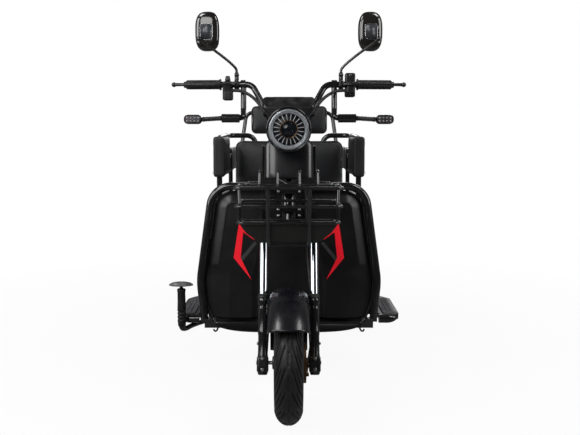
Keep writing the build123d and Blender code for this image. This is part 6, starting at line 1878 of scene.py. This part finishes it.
for number in range(11):
    x = -0.060 + number * 0.012
    parts.append(turned(f"motor_fin_{number}", [(-0.0013, 0.0740), (-0.0010, 0.0790), (0.0010, 0.0790), (0.0013, 0.0740)],
                        axle_middle + (x, 0, 0), (1, 0, 0), motor_cast, 64))
gear_face = wheel_y - 0.125
parts.append(rounded_block("gear_cover", (-0.019, gear_face - 0.0045, wheel_z - 0.048), (0.059, gear_face + 0.002, wheel_z + 0.048),
                           0.004, axle_cast, 3))
for x in (-0.012, 0.052):
    for z in (-0.040, 0.0, 0.040):
        parts += bolt(f"gear_bolt_{x}_{z}", (x, gear_face - 0.0043, wheel_z + z), ahead, zinc, 0.007, 0.0035)
place(join("axle_fittings", parts), "frame", "steel")
spring_black = coated("spring_enamel", (0.012, 0.012, 0.013), 0.3, 0.1, 0.2, coat=0.35)
damper_steel = coated("damper_steel", (0.35, 0.35, 0.36), 0.3, 0.1, 0.3, metallic=1.0)
spring_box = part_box("rear_suspension")
shock_x = 0.196
parts = []
for side in sides:
    low, high = np.array((side * shock_x, wheel_y - 0.016, wheel_z + 0.038)), np.array((side * shock_x, wheel_y - 0.006, 0.467))
    run = high - low
    length = np.linalg.norm(run)
    run = run / length
    parts.append(turned(f"damper_{side}", [(0, 0), (0, 0.0098), (0.010, 0.0098), (0.012, 0.0080), (0.022, 0.0080), (0.024, 0.0190),
                                           (0.029, 0.0225), (0.031, 0.0225), (0.032, 0.0120), (0.120, 0.0120), (0.121, 0.0065),
                                           (length * 0.81, 0.0065), (length * 0.812, 0.0225), (length * 0.825, 0.0225),
                                           (length * 0.835, 0.0150), (length * 0.86, 0.0100), (length - 0.001, 0.0098),
                                           (length, 0.0090), (length, 0)], low, run, damper_steel, 40))
    turns = np.linspace(0, 8.5, 300)
    rise = 0.0335 + (length * 0.81 - 0.0375 - 0.0335) * np.clip((turns - 0.7) / 7.1, 0, 1) + 0.004 * np.clip(turns / 8.5, 0, 1)
    sideways = np.cross(run, (1, 0, 0))
    coil = (low + rise[:, None] * run + 0.0193 * (np.cos(2 * math.pi * turns)[:, None] * np.array((1, 0, 0))
                                                 + np.sin(2 * math.pi * turns)[:, None] * sideways))
    parts.append(carried(f"coil_{side}", coil, 0.0034, spring_black, 12, 1.0, run))
    rear = np.array((side * 0.150, wheel_y - 0.0602, wheel_z - 0.010))
    front = np.array((side * 0.150, 0.3392, wheel_z + 0.004))
    span_y = np.linalg.norm(front - rear)
    parts.append(turned(f"link_{side}", [(0, 0), (0, 0.0095), (0.004, 0.0099), (0.020, 0.0099), (0.024, 0.0078), (span_y - 0.024, 0.0078),
                                         (span_y - 0.020, 0.0099), (span_y - 0.004, 0.0099), (span_y, 0.0095), (span_y, 0)],
                        rear, front - rear, spring_black, 32))
place(join("suspension_pair", parts), "frame", "steel", "rear_suspension")


# ---- Seat base, pan and battery: the painted box under the seat, its lid's underside, and a cased pack with a handle.
# These are dressed as they are, with the battery's lid, handle and terminals added.
base_satin = coated("seat_base_satin", (0.0125, 0.0125, 0.0135), 0.36, 0.1, 0.25, coat=0.15, grain=0.00006, cells=1300)
pack_case = coated("battery_case", (0.030, 0.032, 0.036), 0.48, 0.12, 0.3, grain=0.00012, cells=1000)
dress(base_satin, "seat_base", "seat_pan")
dress(pack_case, "battery_block")
pack_low, pack_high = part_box("battery_block")
parts = [rounded_block("battery_lid", (pack_low.x + 0.004, pack_low.y + 0.004, pack_high.z - 0.001),
                       (pack_high.x - 0.004, pack_high.y - 0.004, pack_high.z + 0.006), 0.003, pack_case, 2),
         rounded_block("battery_belt", (pack_low.x - 0.0015, pack_low.y - 0.0015, pack_high.z - 0.030),
                       (pack_high.x + 0.0015, pack_high.y + 0.0015, pack_high.z - 0.024), 0.001, pack_case, 1)]
grip = rounded_path([(-0.055, 0.190, pack_high.z + 0.004), (-0.055, 0.190, pack_high.z + 0.030), (0.055, 0.190, pack_high.z + 0.030),
                     (0.055, 0.190, pack_high.z + 0.004)], 3)
parts.append(carried("battery_handle", grip, 0.0055, seal_rubber, 14, 1.0, (0, 1, 0)))
for x, tint in ((-0.100, button_red), (0.100, lamp_black)):
    parts.append(turned(f"terminal_{x}", [(0, 0), (0, 0.010), (0.008, 0.010), (0.009, 0.007), (0.016, 0.007), (0.017, 0)],
                        (x, 0.110, pack_high.z + 0.0055), (0, 0, 1), tint, 24))
place(join("battery_fittings", parts), "frame", "battery_case")
latch = []
base_low, base_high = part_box("seat_base")
for side in sides:
    latch += bolt(f"base_bolt_{side}", (side * (base_high.x - 0.0002), base_low.y + 0.060, 0.300), (side, 0, 0), zinc, 0.008, 0.004)
    latch += bolt(f"base_bolt_rear_{side}", (side * (base_high.x - 0.0002), base_high.y - 0.050, 0.300), (side, 0, 0), zinc, 0.008, 0.004)
    groove = [(-0.090, -0.050), (0.090, -0.050), (0.090, 0.060), (-0.090, 0.060)]
    latch.append(plate(f"base_panel_{side}", rounded_corners(groove, 0.018), -0.0004, 0.0022, base_satin,
                       lambda p, s=side: np.array((s * base_high.x, 0.175, 0.425)) + np.stack([s * p[:, 2], p[:, 0], p[:, 1]], -1),
                       0.0010))
latch.append(turned("seat_lock", [(0, 0), (0, 0.0100), (0.0030, 0.0100), (0.0040, 0.0085), (0.0040, 0.0)],
                    (base_high.x - 0.0002, 0.255, 0.535), (1, 0, 0), zinc, 32))
latch.append(rounded_block("seat_lock_slot", (base_high.x + 0.0036, 0.2535, 0.5305), (base_high.x + 0.0041, 0.2565, 0.5395), 0.0002,
                           lamp_black, 1))
place(join("base_fittings", latch), "frame", "frame_paint")
